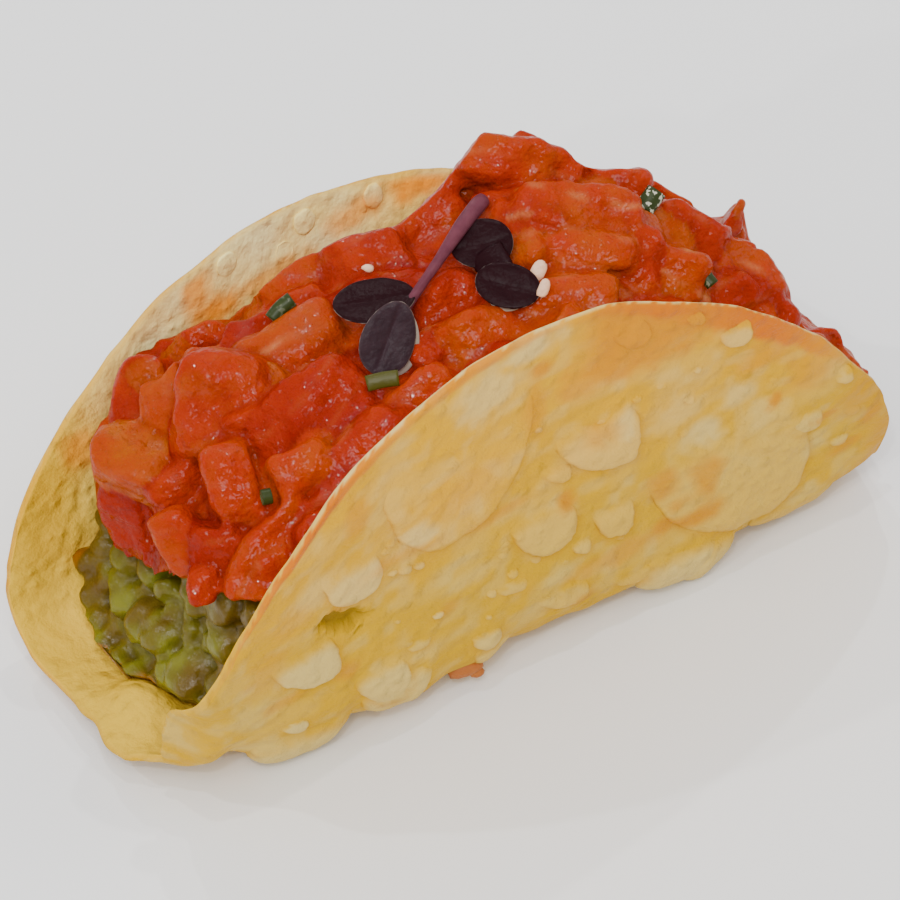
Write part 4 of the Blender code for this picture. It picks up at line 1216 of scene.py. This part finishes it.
def herb_material():
    n = Nodes("chive_green")
    inner, painted_glint_amount, olive, _ = n.channels("herb")
    mottle = n.noise(1200.0, 3.0)
    base = n.mix(mottle, (0.012, 0.020, 0.005), (0.034, 0.048, 0.009))
    base = n.mix(olive, base, (0.060, 0.055, 0.006))
    # painted highlight: pale specks standing for glints on the chive
    painted_glint_mask = n.math("MULTIPLY", n.math("GREATER_THAN", n.noise(2400.0, 1.0), 0.60), painted_glint_amount)
    base = n.mix(painted_glint_mask, base, (0.50, 0.50, 0.38))
    base = n.mix(n.math("MULTIPLY", inner, 0.25), base, (0.20, 0.22, 0.08))
    n.set(Base_Color=base, Roughness=0.35, Normal=n.bump(mottle, 0.3, 0.0002))
    n.bsdf.inputs["Specular IOR Level"].default_value = 0.15
    return n.mat


def bit_material(name, dark, light, rough):
    n = Nodes(name)
    n.set(Base_Color=n.mix(n.noise(1400.0, 3.0), dark, light), Roughness=rough, Normal=n.bump(n.noise(2500.0, 3.0), 0.4, 0.0003))
    n.bsdf.inputs["Specular IOR Level"].default_value = 0.35
    return n.mat


def stage_material():
    n = Nodes("pale_floor")
    n.set(Base_Color=n.mix(n.noise(6.0), (0.86, 0.86, 0.86), (0.88, 0.88, 0.88)), Roughness=0.7)
    return n.mat


def make_stage():
    bm = bmesh.new()
    bmesh.ops.create_grid(bm, x_segments=8, y_segments=8, size=3.0)
    mesh = bpy.data.meshes.new("floor")
    bm.to_mesh(mesh)
    bm.free()
    floor = bpy.data.objects.new("floor", mesh)
    bpy.context.scene.collection.objects.link(floor)
    mesh.materials.append(stage_material())


def aim(ob, at):
    ob.rotation_euler = (Vector(at) - ob.location).to_track_quat("-Z", "Y").to_euler()


def area_light(name, place, at, size, power, colour=(1, 1, 1)):
    data = bpy.data.lights.new(name, "AREA")
    data.shape = "DISK"
    data.size = size
    data.energy = power
    data.color = colour
    ob = bpy.data.objects.new(name, data)
    bpy.context.scene.collection.objects.link(ob)
    ob.location = place
    aim(ob, at)


# small lamps that glint on wet surfaces
SPARKS = ((-0.30, -0.42, 0.66), (0.25, 0.30, 0.75), (-0.45, 0.20, 0.62), (-0.10, -0.15, 0.85), (-0.62, -0.30, 0.45), (0.10, 0.62, 0.55))


def make_lights():
    world = bpy.data.worlds.new("soft_studio")
    bpy.context.scene.world = world
    world.use_nodes = True
    back = world.node_tree.nodes["Background"]
    back.inputs["Color"].default_value = (1.0, 1.0, 1.0, 1.0)
    back.inputs["Strength"].default_value = 0.84
    middle = (0.0, 0.0, 0.02)
    area_light("key", (-0.30, -0.52, 0.80), middle, 0.45, 4.4)
    area_light("fill", (0.60, -0.20, 0.60), middle, 0.50, 1.2)
    for i, place in enumerate(SPARKS):
        area_light(f"spark_{i}", place, middle, 0.020, 1.1)


def make_camera():
    """The photograph's view, counted from the fold's middle in millimetres."""
    turn, tip, roll = math.radians(-30.186), math.radians(44.158), math.radians(-2.958)
    back = np.array([math.sin(turn) * math.cos(tip), -math.cos(turn) * math.cos(tip), math.sin(tip)])
    right = np.array([math.cos(turn), math.sin(turn), 0.0])
    up = np.cross(back, right)
    side = right * math.cos(roll) + up * math.sin(roll)
    top = -right * math.sin(roll) + up * math.cos(roll)
    place = np.array([-22.985, -39.502, 60.0]) + 477.70 * back
    data = bpy.data.cameras.new("camera")
    data.sensor_width = 36.0
    data.lens = 234.6
    data.clip_start = 0.01
    data.clip_end = 20.0
    ob = bpy.data.objects.new("camera", data)
    bpy.context.scene.collection.objects.link(ob)
    rows = np.column_stack([side, top, back, (place + ORIGIN) * MM])
    ob.matrix_world = Matrix([*rows.tolist(), [0, 0, 0, 1]])
    bpy.context.scene.camera = ob


def finish_piece(ob, mat, slot=None, *nodes):
    ob.data.materials.clear()
    ob.data.materials.append(mat)
    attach(ob, "root")
    if nodes:
        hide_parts(*nodes)


def main():
    make_camera()
    make_lights()
    make_stage()
    shell = make_shell()
    finish_piece(shell, dough_material(), "fried_dough", "shell")
    finish_piece(make_salmon(), salmon_material(), "salmon", "salmon_tartare")
    finish_piece(make_mash(), avocado_material(), "avocado", "guacamole")
    cress = cress_material()
    long_sprout, pair = make_sprouts()
    finish_piece(long_sprout, cress, "cress", "sprout_long")
    finish_piece(pair, cress, "cress", "sprout_pair")
    finish_piece(make_chives(), herb_material())
    finish_piece(make_pale_bits_and_painted_glint(), bit_material("pale_bit_and_painted_glint", (0.62, 0.34, 0.20), (0.85, 0.56, 0.38), 0.35))
    finish_piece(make_crumb(), bit_material("brown_crumb", (0.30, 0.07, 0.006), (0.42, 0.13, 0.012), 0.5))


main()
